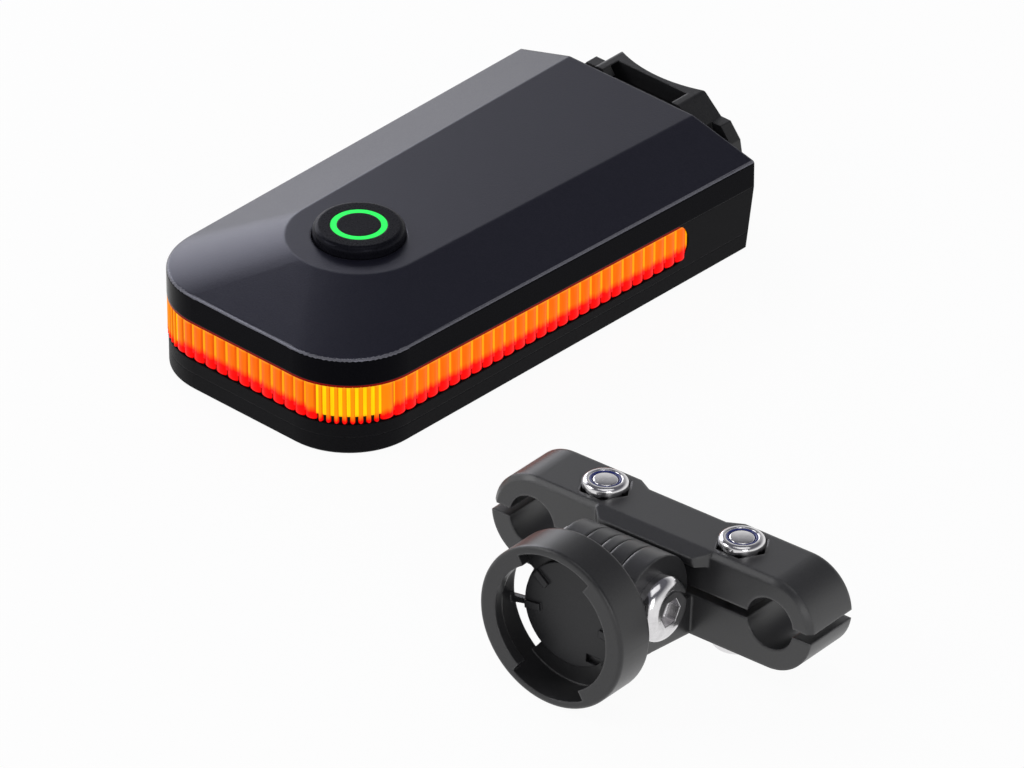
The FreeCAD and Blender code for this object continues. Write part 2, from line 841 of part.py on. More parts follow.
for wall in (tub, cover, seal):
    sunk = sketch(wall, "BossSeat", "XZ_Plane", y=turn_height, z=core_sunk + nest)
    truncated(sunk, core_radius + nest, core_half + nest)
    pocket(wall, "BossRecess", sunk, core_sunk * 2 + 1)
boss_screws = [(1, 1), (-1, -1)]
for number, (sign_x, sign_z) in enumerate(boss_screws):
    wall = cover if sign_z > 0 else tub
    drill(wall, "BossPilot%d" % number, boss_screw_x * sign_x,
          1, turn_height + boss_screw_z * sign_z, screw_radius, pilot_deep, "Y")
keep(tub, "lower_housing", "light")

# Bottom cover

base = new_body("bottom_cover")
base_foot = plan(sketch(base, "BaseFoot"), base_inset + base_round, -(far_lean + base_round))
base_low = plan(sketch(base, "BaseLow", z=base_round), base_inset, -far_lean)
base_high = plan(sketch(base, "BaseHigh", z=base_height), base_inset, housing_far)
loft(base, "Additive", "BaseBevel", base_foot, base_low)
loft(base, "Additive", "BaseBlock", base_low, base_high)
hollow = sketch(base, "BaseHollow", z=base_height - base_hollow)
rectangle(hollow, -(post_x + 2), -(post_near - 4.5), post_x + 2, -(post_far + 4.5))
pocket(base, "BaseRecess", hollow, base_hollow + 1, True)
for number, (sign, back) in enumerate(posts):
    drill(base, "HeadSeat%d" % number, post_x * sign, -back, -1,
          screw_head_radius + screw_play, 1 + screw_head_tall + head_sunk)
    drill(base, "BaseHole%d" % number, post_x * sign, -back, wrap(0), screw_radius + screw_play,
          base_height + 1)
keep(base, "bottom_cover", "light")

screws = new_body("housing_screws")
shank_low = head_sunk + screw_head_tall
for number, (sign, back) in enumerate(posts):
    drill(screws, "ScrewHead%d" % number, post_x * sign, -back, head_sunk,
          screw_head_radius, screw_head_tall, "Z", "Additive")
    drill(screws, "ScrewShank%d" % number, post_x * sign, -back, shank_low,
          screw_radius, screw_long, "Z", "Additive")
keep(screws, "housing_screws", "light")

# Inside the light

guide = new_body("light_guide")
guide_outer = lens_wall + guide_gap
guide_plan = sketch(guide, "GuidePlan", z=board_height)
horseshoe(guide_plan, guide_outer, guide_outer + guide_wall, -(lens_start + 1))
guide_tall = seam_z(lens_start) - board_height - guide_gap
pad(guide, "GuideBand", guide_plan, guide_tall)
guide_foot = sketch(guide, "GuideFoot", z=tub_floor + nest)
horseshoe(guide_foot, guide_outer + 0.2, guide_outer + guide_wall, -(lens_start + 6))
pad(guide, "GuideRail", guide_foot, board_height - tub_floor - nest + 0.2)
keep(guide, "light_guide", "light")

board = new_body("circuit_board")
board_far = -(far_wall + 1.0)
board_plan = plan(sketch(board, "BoardPlan", z=board_height), board_inset, board_far)
pad(board, "BoardPlate", board_plan, board_thick)
for number, (sign, back) in enumerate(posts):
    drill(board, "BoardHole%d" % number, post_x * sign, -back, board_height - 1,
          screw_radius + screw_play, board_thick + 2)
keep(board, "circuit_board", "light")

# The lamps stand in a row along each edge of the board and across its near end.
led_run = body_length - corner_radius - lens_start
led_count = whole(led_run / led_pitch)
side_boxes = []
for sign in (1, -1):
    for number in range(int(led_count.value)):
        back = lens_start + led_pitch * (number + 0.5)
        edge = side_x(-back - led_long, board_inset) - nest
        left = edge - led_deep if sign > 0 else -edge
        name = "side_led_%s%d" % ("r" if sign > 0 else "l", number)
        side_boxes.append(box(name, left, -back - led_long / 2, board_top, led_deep, led_long, led_tall))
side_leds = doc.addObject("Part::Compound", "side_leds")
side_leds.Links = side_boxes
keep(side_leds, "side_leds", "light")
rear_boxes = []
for number in (-1, 0, 1):
    left = led_pitch * number - led_long / 2
    low = near_y - (corner_radius - board_inset) + nest
    rear_boxes.append(box("rear_led_%d" % (number + 1), left, low, board_top, led_long, led_deep, led_tall))
rear_leds = doc.addObject("Part::Compound", "rear_leds")
rear_leds.Links = rear_boxes
keep(rear_leds, "rear_leds", "light")

cell = new_body("battery_cell")
cell_plan = sketch(cell, "CellPlan", z=board_top)
cell_half = body_width / 2 - cell_side
rectangle(cell_plan, -cell_half, -(cell_start + cell_long), cell_half, -cell_start)
cell_block = pad(cell, "CellBlock", cell_plan, cell_tall)
soften(cell, "CellEdges", cell_block, cell_round,
       lambda e: abs(e.BoundBox.ZMax - e.BoundBox.ZMin) < 0.01 and e.BoundBox.ZMax > board_top.value + 1)
keep(cell, "battery_cell", "light")

# The switch stands on the board; its bore follows the button's sloping axis.
crown_at_button = crown_top + rise * button_back
switch_top = (crown_at_button - board_top - switch_tall) * cosine(slant)
switch_low = crown_top - switch_top
switch = new_body("tact_switch")
switch_plan = sketch(switch, "SwitchPlan", z=board_top)
half = switch_wide / 2
rectangle(switch_plan, -half, -(button_back + half), half, -(button_back - half))
pad(switch, "SwitchBlock", switch_plan, switch_tall)
bore = sketch(switch, "SwitchBore", z=switch_low + 0.5, roll=-slant)
circle(bore, 0, -button_back, plunger_radius + plunger_play)
pocket(switch, "SwitchHole", bore, plunger_reach + button_travel + 0.7)
keep(switch, "tact_switch", "light")

plunger = new_body("switch_plunger")
stud = sketch(plunger, "PlungerPlan", z=switch_low - plunger_reach, roll=-slant)
circle(stud, 0, -button_back, plunger_radius)
pad(plunger, "PlungerStud", stud, plunger_reach + plunger_proud)
keep(plunger, "switch_plunger", "light")

status_x = -(status_wide / 2)
status_y = -(button_back - status_ahead)
lamp = box("status_led", status_x, status_y, board_top, status_wide, status_deep, status_tall)
keep(lamp, "status_led", "light")

# Button

flange_top = crown_top - roof_wall - free_gap
cap = new_body("button_cap")
flange = sketch(cap, "Flange", z=flange_top - flange_tall, roll=-slant)
circle(flange, 0, -button_back, flange_radius)
pad(cap, "FlangeDisc", flange, flange_tall)
skirt = sketch(cap, "Skirt", z=flange_top, roll=-slant)
circle(skirt, 0, -button_back, button_radius)
cap_disc = pad(cap, "CapDisc", skirt, crown_top - flange_top + button_proud)
cap_face = crown_top + button_proud
soften(cap, "CapRim", cap_disc, button_round,
       lambda e: near_plane(e, cap_face, -0.2, 0.2) and e.Length > button_radius.value * 4)
channel = sketch(cap, "RingChannel", z=cap_face + nest, roll=-slant)
circle(channel, 0, -button_back, ring_outer)
circle(channel, 0, -button_back, ring_inner)
pocket(cap, "RingGroove", channel, ring_deep + nest)
stem = sketch(cap, "Stem", z=flange_top - flange_tall, roll=-slant)
circle(stem, 0, -button_back, stem_radius)
pad(cap, "StemPost", stem, flange_top - flange_tall - switch_low - plunger_proud - nest, True)
keep(cap, "button_cap", "light")

glow = new_body("button_ring")
glow_plan = sketch(glow, "GlowRing", z=cap_face - ring_deep + ring_play, roll=-slant)
circle(glow_plan, 0, -button_back, ring_outer - ring_play)
circle(glow_plan, 0, -button_back, ring_inner + ring_play)
pad(glow, "GlowBand", glow_plan, ring_deep - ring_play)
keep(glow, "button_ring", "light")

# Charging port and flap

socket_x = -(side_x(-port_back) - cover_wall - base_inset - 0.35)
usb = new_body("usb_socket")
shell = sketch(usb, "ShellPlan", "YZ_Plane", z=socket_x)
stadium(shell, -port_back, port_z, port_wide, port_tall / 2)
pad(usb, "Shell", shell, port_deep)
mouth = sketch(usb, "MouthPlan", "YZ_Plane", z=socket_x - 1)
stadium(mouth, -port_back, port_z, port_wide - port_skin * 2, port_tall / 2 - port_skin)
pocket(usb, "Mouth", mouth, port_deep + 1 - port_skin * 2, True)
tongue = sketch(usb, "TonguePlan", "YZ_Plane", z=socket_x + port_deep - tongue_deep - 0.4)
rectangle(tongue, -(port_back + tongue_wide / 2), port_z - tongue_tall / 2,
          -(port_back - tongue_wide / 2), port_z + tongue_tall / 2)
pad(usb, "Tongue", tongue, tongue_deep)
keep(usb, "usb_socket", "light")

flap = new_body("port_cover")
flap_low = port_z - flap_tall / 2
flap_plan = sketch(flap, "FlapPlan", x=-(body_width / 2), z=flap_low, yaw=side_angle)
flap_far = -(port_back - flap_wide / 2)
flap_near = -(port_back + flap_wide / 2)
pin = flap_thick / 2
flap_points = [
    (wrap(0), flap_far - pin),
    (wrap(0), flap_near),
    (flap_thick, flap_near),
    (flap_thick, flap_far - pin),
    (pin, flap_far),
]
outline(flap_plan, flap_points, {3: (pin, 1), 4: (pin, 1)})
flap_plate = pad(flap, "FlapPlate", flap_plan, flap_tall)
soften(flap, "FlapCorners", flap_plate, flap_round,
       lambda e: e.Length < flap_thick.value + 0.1 and middle(e).y < flap_near.value + 0.3
       and abs(e.BoundBox.ZMax - e.BoundBox.ZMin) < 0.01)
plug = sketch(flap, "PlugPlan", "YZ_Plane", z=-(body_width / 2) + flap_thick / 2)
plug_wide = port_wide - port_skin * 2 - plug_short * 2
stadium(plug, -port_back, port_z, plug_wide, port_tall / 2 - port_skin - plug_short / 2)
pad(flap, "Plug", plug, plug_deep)
keep(flap, "port_cover", "light")

# Quarter-turn boss

neck = adapter_gap + lip_thick + tab_play
boss = new_body("turn_boss")
core = sketch(boss, "CorePlan", "XZ_Plane", y=turn_height, z=core_sunk)
truncated(core, core_radius, core_half)
pad(boss, "Core", core, core_sunk + neck + tab_thick, True)
tabs = sketch(boss, "TabPlan", "XZ_Plane", y=turn_height, z=-neck)
truncated(tabs, tab_radius, tab_half)
pad(boss, "Tabs", tabs, tab_thick, True)
boss_out = neck + tab_thick
for number, (sign_x, sign_z) in enumerate(boss_screws):
    x = boss_screw_x * sign_x
    z = turn_height + boss_screw_z * sign_z
    drill(boss, "BossHole%d" % number, x, boss_out + 1, z, screw_radius + screw_play, wrap(9), "Y")
    drill(boss, "BossHead%d" % number, x, boss_out + 1, z, screw_head_radius + screw_play,
          screw_head_tall + 1.3, "Y")
keep(boss, "turn_boss", "light")

fixings = new_body("boss_screws")
for number, (sign_x, sign_z) in enumerate(boss_screws):
    x = boss_screw_x * sign_x
    z = turn_height + boss_screw_z * sign_z
    top = boss_out - 0.3
    drill(fixings, "BossScrewHead%d" % number, x, top, z, screw_head_radius,
          screw_head_tall, "Y", "Additive")
    drill(fixings, "BossScrewShank%d" % number, x, top - screw_head_tall, z, screw_radius,
          boss_screw_long, "Y", "Additive")
keep(fixings, "boss_screws", "light")

# Seat-post adapter

# The block is cut above and below, so its round cavity breaks out as a window.


def keyway(made, lip_radius, slot_radius, slot_angle):
    """A round opening with a wider slot above and below for the tabs."""
    sin_a = sine(slot_angle)
    cos_a = cosine(slot_angle)
    wide = slot_radius * sin_a
    tall = slot_radius * cos_a
    small_w = lip_radius * sin_a
    small_t = lip_radius * cos_a
    points = [
        (-wide, -tall),
        (wide, -tall),
        (small_w, -small_t),
        (small_w, small_t),
        (wide, tall),
        (-wide, tall),
        (-small_w, small_t),
        (-small_w, -small_t),
    ]
    arcs = {0: (slot_radius, 1), 2: (lip_radius, 1), 4: (slot_radius, 1), 6: (lip_radius, 1)}
    return outline(made, points, arcs)


adapter = new_body("post_adapter")
face = sketch(adapter, "BlockFace", "XZ_Plane", y=turn_height, z=-adapter_gap)
shoulder_z = adapter_half - adapter_step
face_points = [
    (-adapter_top, -adapter_half),
    (adapter_top, -adapter_half),
    (adapter_waist, -shoulder_z),
    (adapter_side, wrap(0)),
    (adapter_waist, shoulder_z),
    (adapter_top, adapter_half),
    (-adapter_top, adapter_half),
    (-adapter_waist, shoulder_z),
    (-adapter_side, wrap(0)),
    (-adapter_waist, -shoulder_z),
]
outline(face, face_points)
block = pad(adapter, "Block", face, adapter_deep, True)


def top_rim(edge):
    box_of = edge.BoundBox
    long_y = box_of.YMax - box_of.YMin > adapter_deep.value - 0.1
    return long_y and abs(middle(edge).x) < adapter_top.value + 0.1


soften(adapter, "BlockEdges", block, wrap(1.0), top_rim)
wing = sketch(adapter, "WingFace", "XZ_Plane", y=turn_height, z=-(adapter_gap + adapter_deep - ear_thick))
wing_points = [
    (-ear_flat, -shoulder_z),
    (ear_flat, -shoulder_z),
    (ear_half - 0.6, -(shoulder_z - 2.6)),
    (ear_half, wrap(0)),
    (ear_half - 0.6, shoulder_z - 2.6),
    (ear_flat, shoulder_z),
    (-ear_flat, shoulder_z),
    (-(ear_half - 0.6), shoulder_z - 2.6),
    (-ear_half, wrap(0)),
    (-(ear_half - 0.6), -(shoulder_z - 2.6)),
]
outline(wing, wing_points)
pad(adapter, "Wings", wing, ear_thick, True)
entry = sketch(adapter, "LipOpening", "XZ_Plane", y=turn_height, z=-(adapter_gap - 1))
keyway(entry, core_radius + core_play, tab_radius + slot_play, adapter_slot)
pocket(adapter, "Entry", entry, lip_thick + 1)
chamber = sketch(adapter, "Chamber", "XZ_Plane", y=turn_height, z=-(adapter_gap + lip_thick - 0.2))
circle(chamber, 0, 0, tab_radius + slot_play)
chamber_deep = tab_play * 2 + tab_thick
pocket(adapter, "TabChamber", chamber, chamber_deep + 0.2)
saddle_centre = adapter_gap + lip_thick + chamber_deep + adapter_floor + saddle_radius
drill(adapter, "Saddle", wrap(0), saddle_centre, turn_height - adapter_half - 1,
      saddle_radius, adapter_half * 2 + 2)
recess = sketch(adapter, "PadSeat", z=turn_height - pad_height / 2 - nest)


def cushion(made, inner, outer, wide):
    """A strip between two arcs about the post's axis."""
    inner_y = saddle_centre - root(inner * inner - wide * wide / 4)
    outer_y = saddle_centre - root(outer * outer - wide * wide / 4)
    points = [(-(wide / 2), outer_y), (wide / 2, outer_y), (wide / 2, inner_y), (-(wide / 2), inner_y)]
    return outline(made, points, {0: (outer, 1), 2: (inner, -1)})


cushion(recess, saddle_radius - 1, saddle_radius + pad_sunk, pad_width + nest * 2)
pocket(adapter, "PadRecess", recess, pad_height + nest * 2, True)
keep(adapter, "post_adapter", "light")

rubber = new_body("adapter_pad")
strip = sketch(rubber, "PadPlan", z=turn_height - pad_height / 2)
cushion(strip, saddle_radius + pad_sunk - pad_thick, saddle_radius + pad_sunk - nest, pad_width)
pad(rubber, "PadStrip", strip, pad_height)
keep(rubber, "adapter_pad", "light")

# Saddle-rail bracket

# Local frame: X along the bar, +Y to the rear, origin midway between the rails
# on the front face. Two bored halves close on the rails; the lower half carries
# three hinge ears, the socket ring two fingers between them.

hole_x = rail_spacing / 2
bore_radius = (rail_diameter + slit) / 2
gap_half = slit / 2
bore_reach = root(bore_radius * bore_radius - gap_half * gap_half)
end_reach = root(bar_half * bar_half - gap_half * gap_half)


def half_bar(made, up):
    """One half of the bar, seen from the front: rounded ends and half bores."""
    low = gap_half * up
    high = bar_half * up
    bulge = up
    points = [
        (-(hole_x + end_reach), low),
        (-(hole_x + bore_reach), low),
        (-(hole_x - bore_reach), low),
        (hole_x - bore_reach, low),
        (hole_x + bore_reach, low),
        (hole_x + end_reach, low),
        (hole_x, high),
        (-hole_x, high),
    ]
    arcs = {1: (bore_radius, -bulge), 3: (bore_radius, -bulge), 5: (bar_half, bulge), 7: (bar_half, bulge)}
    return outline(made, points, arcs)


def trim_waist(body, low, tall):
    """The shallower middle of the bar's rear face."""
    cutter = sketch(body, "WaistPlan", z=low)
    inner = bar_depth - waist_deep
    points = [
        (-(waist_half + waist_jog), bar_depth + 1),
        (-(waist_half + waist_jog), bar_depth),
        (-waist_half, inner),
        (waist_half, inner),
        (waist_half + waist_jog, bar_depth),
        (waist_half + waist_jog, bar_depth + 1),
    ]
    outline(cutter, points)
    return pocket(body, "Waist", cutter, tall, True)


def front_edge(level):
    def wanted(edge):
        box_of = edge.BoundBox
        flat = abs(box_of.ZMax - level.value) < 0.01 and abs(box_of.ZMin - level.value) < 0.01
        return flat and box_of.YMax < 0.01 and edge.Length > 10

    return wanted


hinge_y = -hinge_ahead
bolt_xs = (bolt_spacing / 2, -(bolt_spacing / 2))

upper = new_body("clamp_upper")
upper_face = half_bar(sketch(upper, "UpperFace", "XZ_Plane"), 1)
upper_bar = pad(upper, "UpperBar", upper_face, bar_depth, True)
soften(upper, "UpperChamfer", upper_bar, bar_chamfer, front_edge(bar_half), "Chamfer")
trim_waist(upper, wrap(0), bar_half + 1)
ledge_side = sketch(upper, "LedgeSide", "YZ_Plane", z=-(ledge_half + ledge_reach))
ledge_low = bar_half - ledge_drop - ledge_thick
ledge_points = [
    (bar_chamfer, bar_half),
    (-ledge_reach, bar_half - ledge_drop),
    (-ledge_reach, ledge_low),
    (bar_chamfer, ledge_low),
]
outline(ledge_side, ledge_points)
pad(upper, "Ledge", ledge_side, (ledge_half + ledge_reach) * 2)
for name, sign in (("Right", 1), ("Left", -1)):
    corner = sketch(upper, "LedgeCorner" + name, z=ledge_low - 1)
    corner_points = [
        (ledge_half * sign, -ledge_reach),
        ((ledge_half + ledge_reach) * sign, wrap(0)),
        ((ledge_half + ledge_reach + 1) * sign, wrap(0)),
        ((ledge_half + ledge_reach + 1) * sign, -(ledge_reach + 1)),
        (ledge_half * sign, -(ledge_reach + 1)),
    ]
    outline(corner, corner_points)
    pocket(upper, "LedgeCut" + name, corner, ledge_drop + ledge_thick + 2, True)
# the ledge clears the ears also when the halves are closed on the rails
drill(upper, "BarrelRelief", -(ledge_half + ledge_reach + 1), hinge_y, hinge_height + cap_drop,
      barrel_radius + tab_play, (ledge_half + ledge_reach + 1) * 2, "X")
nut_low = bar_half + nut_proud - nut_tall
for number, x in enumerate(bolt_xs):
    seat = sketch(upper, "NutSeat%d" % number, z=nut_low)
    hexagon(seat, x, bolt_back, nut_flats + nut_play * 2)
    pocket(upper, "NutPocket%d" % number, seat, nut_tall, True)
    drill(upper, "BoltBore%d" % number, x, bolt_back, wrap(0), bolt_radius + bolt_play, bar_half)
keep(upper, "clamp_upper", "bracket")

nuts = new_body("lock_nuts")
for number, x in enumerate(bolt_xs):
    spot = sketch(nuts, "NutPlan%d" % number, z=nut_low)
    hexagon(spot, x, bolt_back, nut_flats)
    pad(nuts, "NutHex%d" % number, spot, nut_tall - nut_collar)
    drill(nuts, "NutCollar%d" % number, x, bolt_back, nut_low + nut_tall - nut_collar,
          nut_flats / 2 - nut_play, nut_collar, "Z", "Additive")
    drill(nuts, "NutBore%d" % number, x, bolt_back, nut_low - 1, bolt_radius + nest, nut_tall + 2)
    drill(nuts, "NylonSeat%d" % number, x, bolt_back, nut_low + nut_tall - nylon_deep,
          bolt_radius + nest + nylon_wall, nylon_deep + 1)
keep(nuts, "lock_nuts", "bracket")

inserts = new_body("nut_inserts")
for number, x in enumerate(bolt_xs):
    spot = sketch(inserts, "NylonPlan%d" % number, z=nut_low + nut_tall - nylon_deep)
    circle(spot, x, bolt_back, bolt_radius + nest + nylon_wall)
    circle(spot, x, bolt_back, bolt_radius + nest)
    pad(inserts, "NylonRing%d" % number, spot, nylon_deep - 0.1)
keep(inserts, "nut_inserts", "bracket")

lower = new_body("clamp_lower")
lower_face = half_bar(sketch(lower, "LowerFace", "XZ_Plane"), -1)
pad(lower, "LowerBar", lower_face, bar_depth, True)
trim_waist(lower, -(bar_half + 1), bar_half + 1)
arm_top = -(gap_half + free_gap)
arm_rise = hinge_height - arm_top
arm_y = hinge_y + root(barrel_radius * barrel_radius - arm_rise * arm_rise)
finger_thick = stack_half - outer_ear - ear_play - middle_ear / 2 - ear_play


def ear_profile(made):
    """A hinge ear from the side: a disc about the pivot with an arm to the bar."""
    points = [
        (wrap(1), -bar_half),
        (wrap(1), arm_top),
        (arm_y, arm_top),
        (hinge_y, hinge_height + barrel_radius),
        (hinge_y - barrel_radius, hinge_height),
        (hinge_y, hinge_height - barrel_radius),
    ]
    arcs = {2: (barrel_radius, 1), 3: (barrel_radius, 1), 4: (barrel_radius, 1)}
    return outline(made, points, arcs)


ears = [
    ("Left", -stack_half, outer_ear),
    ("Middle", -(middle_ear / 2), middle_ear),
    ("Right", stack_half - outer_ear, outer_ear),
]
for name, start, thick in ears:
    shape = ear_profile(sketch(lower, name + "EarSide", "YZ_Plane", z=start))
    pad(lower, name + "Ear", shape, thick)
drill(lower, "PivotBore", -(stack_half + 1), hinge_y, hinge_height, pivot_radius + pivot_play,
      stack_half * 2 + 2, "X")
nut_side = sketch(lower, "PivotNutSeat", "YZ_Plane", z=-(stack_half + 1))
hexagon(nut_side, hinge_y, hinge_height, pivot_nut_flats + nut_play * 2)
pocket(lower, "PivotNutPocket", nut_side, pivot_nut_sunk + 1, True)
for number, x in enumerate(bolt_xs):
    drill(lower, "BoltHole%d" % number, x, bolt_back, -(bar_half + 1), bolt_radius + bolt_play, bar_half + 1)
keep(lower, "clamp_lower", "bracket")

bolts = new_body("clamp_bolts")
bolt_top = bar_half + nut_proud - 0.2
for number, x in enumerate(bolt_xs):
    head = sketch(bolts, "BoltHeadPlan%d" % number, z=-(bar_half + bolt_head_tall))
    circle(head, x, bolt_back, bolt_head_radius)
    head_pad = pad(bolts, "BoltHead%d" % number, head, bolt_head_tall)
    soften(bolts, "BoltDome%d" % number, head_pad, bolt_round,
           lambda e: e.BoundBox.ZMax < -(bar_half + bolt_head_tall).value + 0.01
           and abs(e.BoundBox.Center.x - x.value) < 1)
    key = sketch(bolts, "BoltKey%d" % number, z=-(bar_half + bolt_head_tall + 1))
    hexagon(key, x, bolt_back, bolt_socket)
    pocket(bolts, "BoltSocket%d" % number, key, bolt_head_tall - 0.9 + 1, True)
    drill(bolts, "BoltShank%d" % number, x, bolt_back, -bar_half, bolt_radius,
          bar_half + bolt_top, "Z", "Additive")
keep(bolts, "clamp_bolts", "bracket")

pivot = new_body("pivot_screw")
pivot_plan = sketch(pivot, "PivotHead", "YZ_Plane", z=stack_half)
circle(pivot_plan, hinge_y, hinge_height, pivot_head_radius)
pivot_head = pad(pivot, "PivotButton", pivot_plan, pivot_head_tall)
soften(pivot, "PivotDome", pivot_head, pivot_round,
       lambda e: e.BoundBox.XMin > (stack_half + pivot_head_tall).value - 0.01)
pivot_key = sketch(pivot, "PivotKey", "YZ_Plane", z=stack_half + pivot_head_tall + 1)
hexagon(pivot_key, hinge_y, hinge_height, pivot_socket)
pocket(pivot, "PivotSocket", pivot_key, wrap(3))
drill(pivot, "PivotShank", -(stack_half - pivot_nut_sunk + pivot_nut_tall + 0.5), hinge_y, hinge_height,
      pivot_radius, stack_half * 2 - pivot_nut_sunk + pivot_nut_tall + 0.5, "X", "Additive")
keep(pivot, "pivot_screw", "bracket")

pivot_nut = new_body("pivot_nut")
pivot_nut_low = -(stack_half - pivot_nut_sunk + pivot_nut_tall)
nut_face = sketch(pivot_nut, "PivotNutPlan", "YZ_Plane", z=pivot_nut_low)
hexagon(nut_face, hinge_y, hinge_height, pivot_nut_flats)
circle(nut_face, hinge_y, hinge_height, pivot_radius)
pad(pivot_nut, "PivotNutBlock", nut_face, pivot_nut_tall)
keep(pivot_nut, "pivot_nut", "bracket")

# Socket ring

back_y = hinge_y - socket_back
front_y = back_y - socket_depth
ring = new_body("socket_ring")
disc = sketch(ring, "RingFace", "XZ_Plane", y=hinge_height, z=-front_y)
circle(disc, 0, 0, socket_radius)
ring_disc = pad(ring, "RingDisc", disc, socket_depth, True)
soften(ring, "RingEdge", ring_disc, socket_round,
       lambda e: e.BoundBox.YMax < front_y.value + 0.01)
finger_side = back_y - 0.4
for name, start in (("Left", -(stack_half - outer_ear - ear_play)), ("Right", middle_ear / 2 + ear_play)):
    knuckle = sketch(ring, name + "KnuckleSide", "YZ_Plane", z=start)
    circle(knuckle, hinge_y, hinge_height, barrel_radius)
    pad(ring, name + "Knuckle", knuckle, finger_thick)
    web = sketch(ring, name + "WebSide", "YZ_Plane", z=start)
    rectangle(web, finger_side, hinge_height - finger_half, hinge_y, hinge_height + finger_half)
    pad(ring, name + "Web", web, finger_thick)
entry = sketch(ring, "RingOpening", "XZ_Plane", y=hinge_height, z=-(front_y - 1))
keyway(entry, socket_lip, socket_bore, socket_slot)
pocket(ring, "RingEntry", entry, lip_thick + 1)
room = sketch(ring, "RingChamber", "XZ_Plane", y=hinge_height, z=-(front_y + lip_thick - 0.2))
circle(room, 0, 0, socket_bore)
pocket(ring, "RingHollow", room, socket_depth - lip_thick - socket_wall + 0.2)


def sector(made, inner, outer, start, stop):
    """A window between two radii and two angles."""
    start = wrap(start)
    stop = wrap(stop)
    points = [
        (outer * cosine(start), outer * sine(start)),
        (outer * cosine(stop), outer * sine(stop)),
        (inner * cosine(stop), inner * sine(stop)),
        (inner * cosine(start), inner * sine(start)),
    ]
    return outline(made, points, {0: (outer, 1), 2: (inner, -1)})


window_inner = detent_radius + 0.4
for number, (start, stop) in enumerate(((149, 188), (193, 232), (-8, 31), (-52, -13))):
    gap_shape = sketch(ring, "Window%d" % number, "XZ_Plane", y=hinge_height, z=-(back_y - socket_wall - 1))
    sector(gap_shape, window_inner, socket_bore, start, stop)
    pocket(ring, "WindowCut%d" % number, gap_shape, socket_wall + 2)
drill(ring, "KnuckleBore", -stack_half, hinge_y, hinge_height, pivot_radius + pivot_play,
      stack_half * 2, "X")
keep(ring, "socket_ring", "bracket")

detent = new_body("detent_plate")
plate_y = back_y - socket_wall
plate = sketch(detent, "DetentFace", "XZ_Plane", y=hinge_height, z=-(plate_y - detent_thick))
circle(plate, 0, 0, detent_radius)
pad(detent, "DetentDisc", plate, detent_thick, True)
rib_start = detent_radius - rib_long
for number, angle in enumerate((37, 143, 188, 352)):
    rib_front = -(plate_y - detent_thick - rib_high)
    rib = sketch(detent, "Rib%d" % number, "XZ_Plane", y=hinge_height, z=rib_front, yaw=angle)
    rectangle(rib, rib_start, -(rib_wide / 2), detent_radius - 0.2, rib_wide / 2)
    pad(detent, "RibBar%d" % number, rib, rib_high + 0.1, True)
key_hole = sketch(detent, "KeyHole", "XZ_Plane", y=hinge_height, z=-(plate_y - detent_thick - 1))
rectangle(key_hole, key_x - key_wide / 2, -(key_low + key_tall / 2), key_x + key_wide / 2,
          -(key_low - key_tall / 2))
pocket(detent, "KeySlot", key_hole, detent_thick + 2)
keep(detent, "detent_plate", "bracket")

# Standing pose

# The bracket rests on the ring's rear lower edge and on its two bolt heads.
ring_drop = socket_radius - hinge_height
head_drop = bar_half + bolt_head_tall
lean_run = -back_y + bolt_back + bolt_head_radius
bracket_lean = angle_of(ring_drop - head_drop, lean_run)
lean_c = cosine(bracket_lean)
lean_s = sine(bracket_lean)
turn_c = cosine(bracket_turn)
turn_s = sine(bracket_turn)
bracket_z = ring_drop * lean_c + back_y * lean_s
front_of_bracket = -(body_length + bracket_y)

# The origin is at the middle of the whole set's footprint, on the floor.
right_end = bracket_x + (hole_x + end_reach) * turn_c
left_end = -(body_width / 2)
far_end = adapter_gap + adapter_deep
tilt = turn_c * lean_s
near_end = front_of_bracket + turn_c * (lean_c * front_y + lean_s * hinge_height)
near_end = near_end - (socket_radius - socket_round * 0.3) * root(turn_s * turn_s + tilt * tilt)
mid_x = (left_end + right_end) / 2
mid_y = (near_end + far_end) / 2
light_place = place_text(-mid_x, -mid_y, 0)
bracket_y_now = front_of_bracket - mid_y
bracket_place = place_text(bracket_x - mid_x, bracket_y_now, bracket_z, bracket_turn, -bracket_lean)
for label, item, group in nodes:
    if item.TypeId == "Part::Box":
        item.setExpression("Placement", place_text(status_x - mid_x, status_y - mid_y, board_top))
    else:
        item.setExpression("Placement", light_place if group == "light" else bracket_place)
doc.recompute()

# Checks and files

cutters = ("PartDesign::Pocket", "PartDesign::SubtractiveCylinder", "PartDesign::SubtractiveLoft")
for item in doc.Objects:
    if "Invalid" in item.State or "Error" in item.State:
        raise RuntimeError(item.Label + " did not build: " + str(item.State))
    if item.TypeId in cutters:
        before = item.BaseFeature.Shape.Volume
        if before - item.Shape.Volume < 1e-4:
            raise RuntimeError(item.Label + " cuts nothing")
os.makedirs("parts", exist_ok=True)
total = 0
for label, item, group in nodes:
    shape = item.Shape
    if shape.isNull() or not shape.isValid() or not shape.Solids:
        raise RuntimeError(label + " has no valid shape")
    shape.exportStep("parts/" + label + ".step")
    total += 1
    print(label, len(shape.Solids), "solids", round(shape.Volume, 2), "mm3")
whole_box = FreeCAD.BoundBox()
for label, item, group in nodes:
    whole_box.add(item.Shape.BoundBox)
print(total, "files; box", whole_box)
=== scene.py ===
import math

import bmesh
import bpy
from mathutils import Matrix, Vector


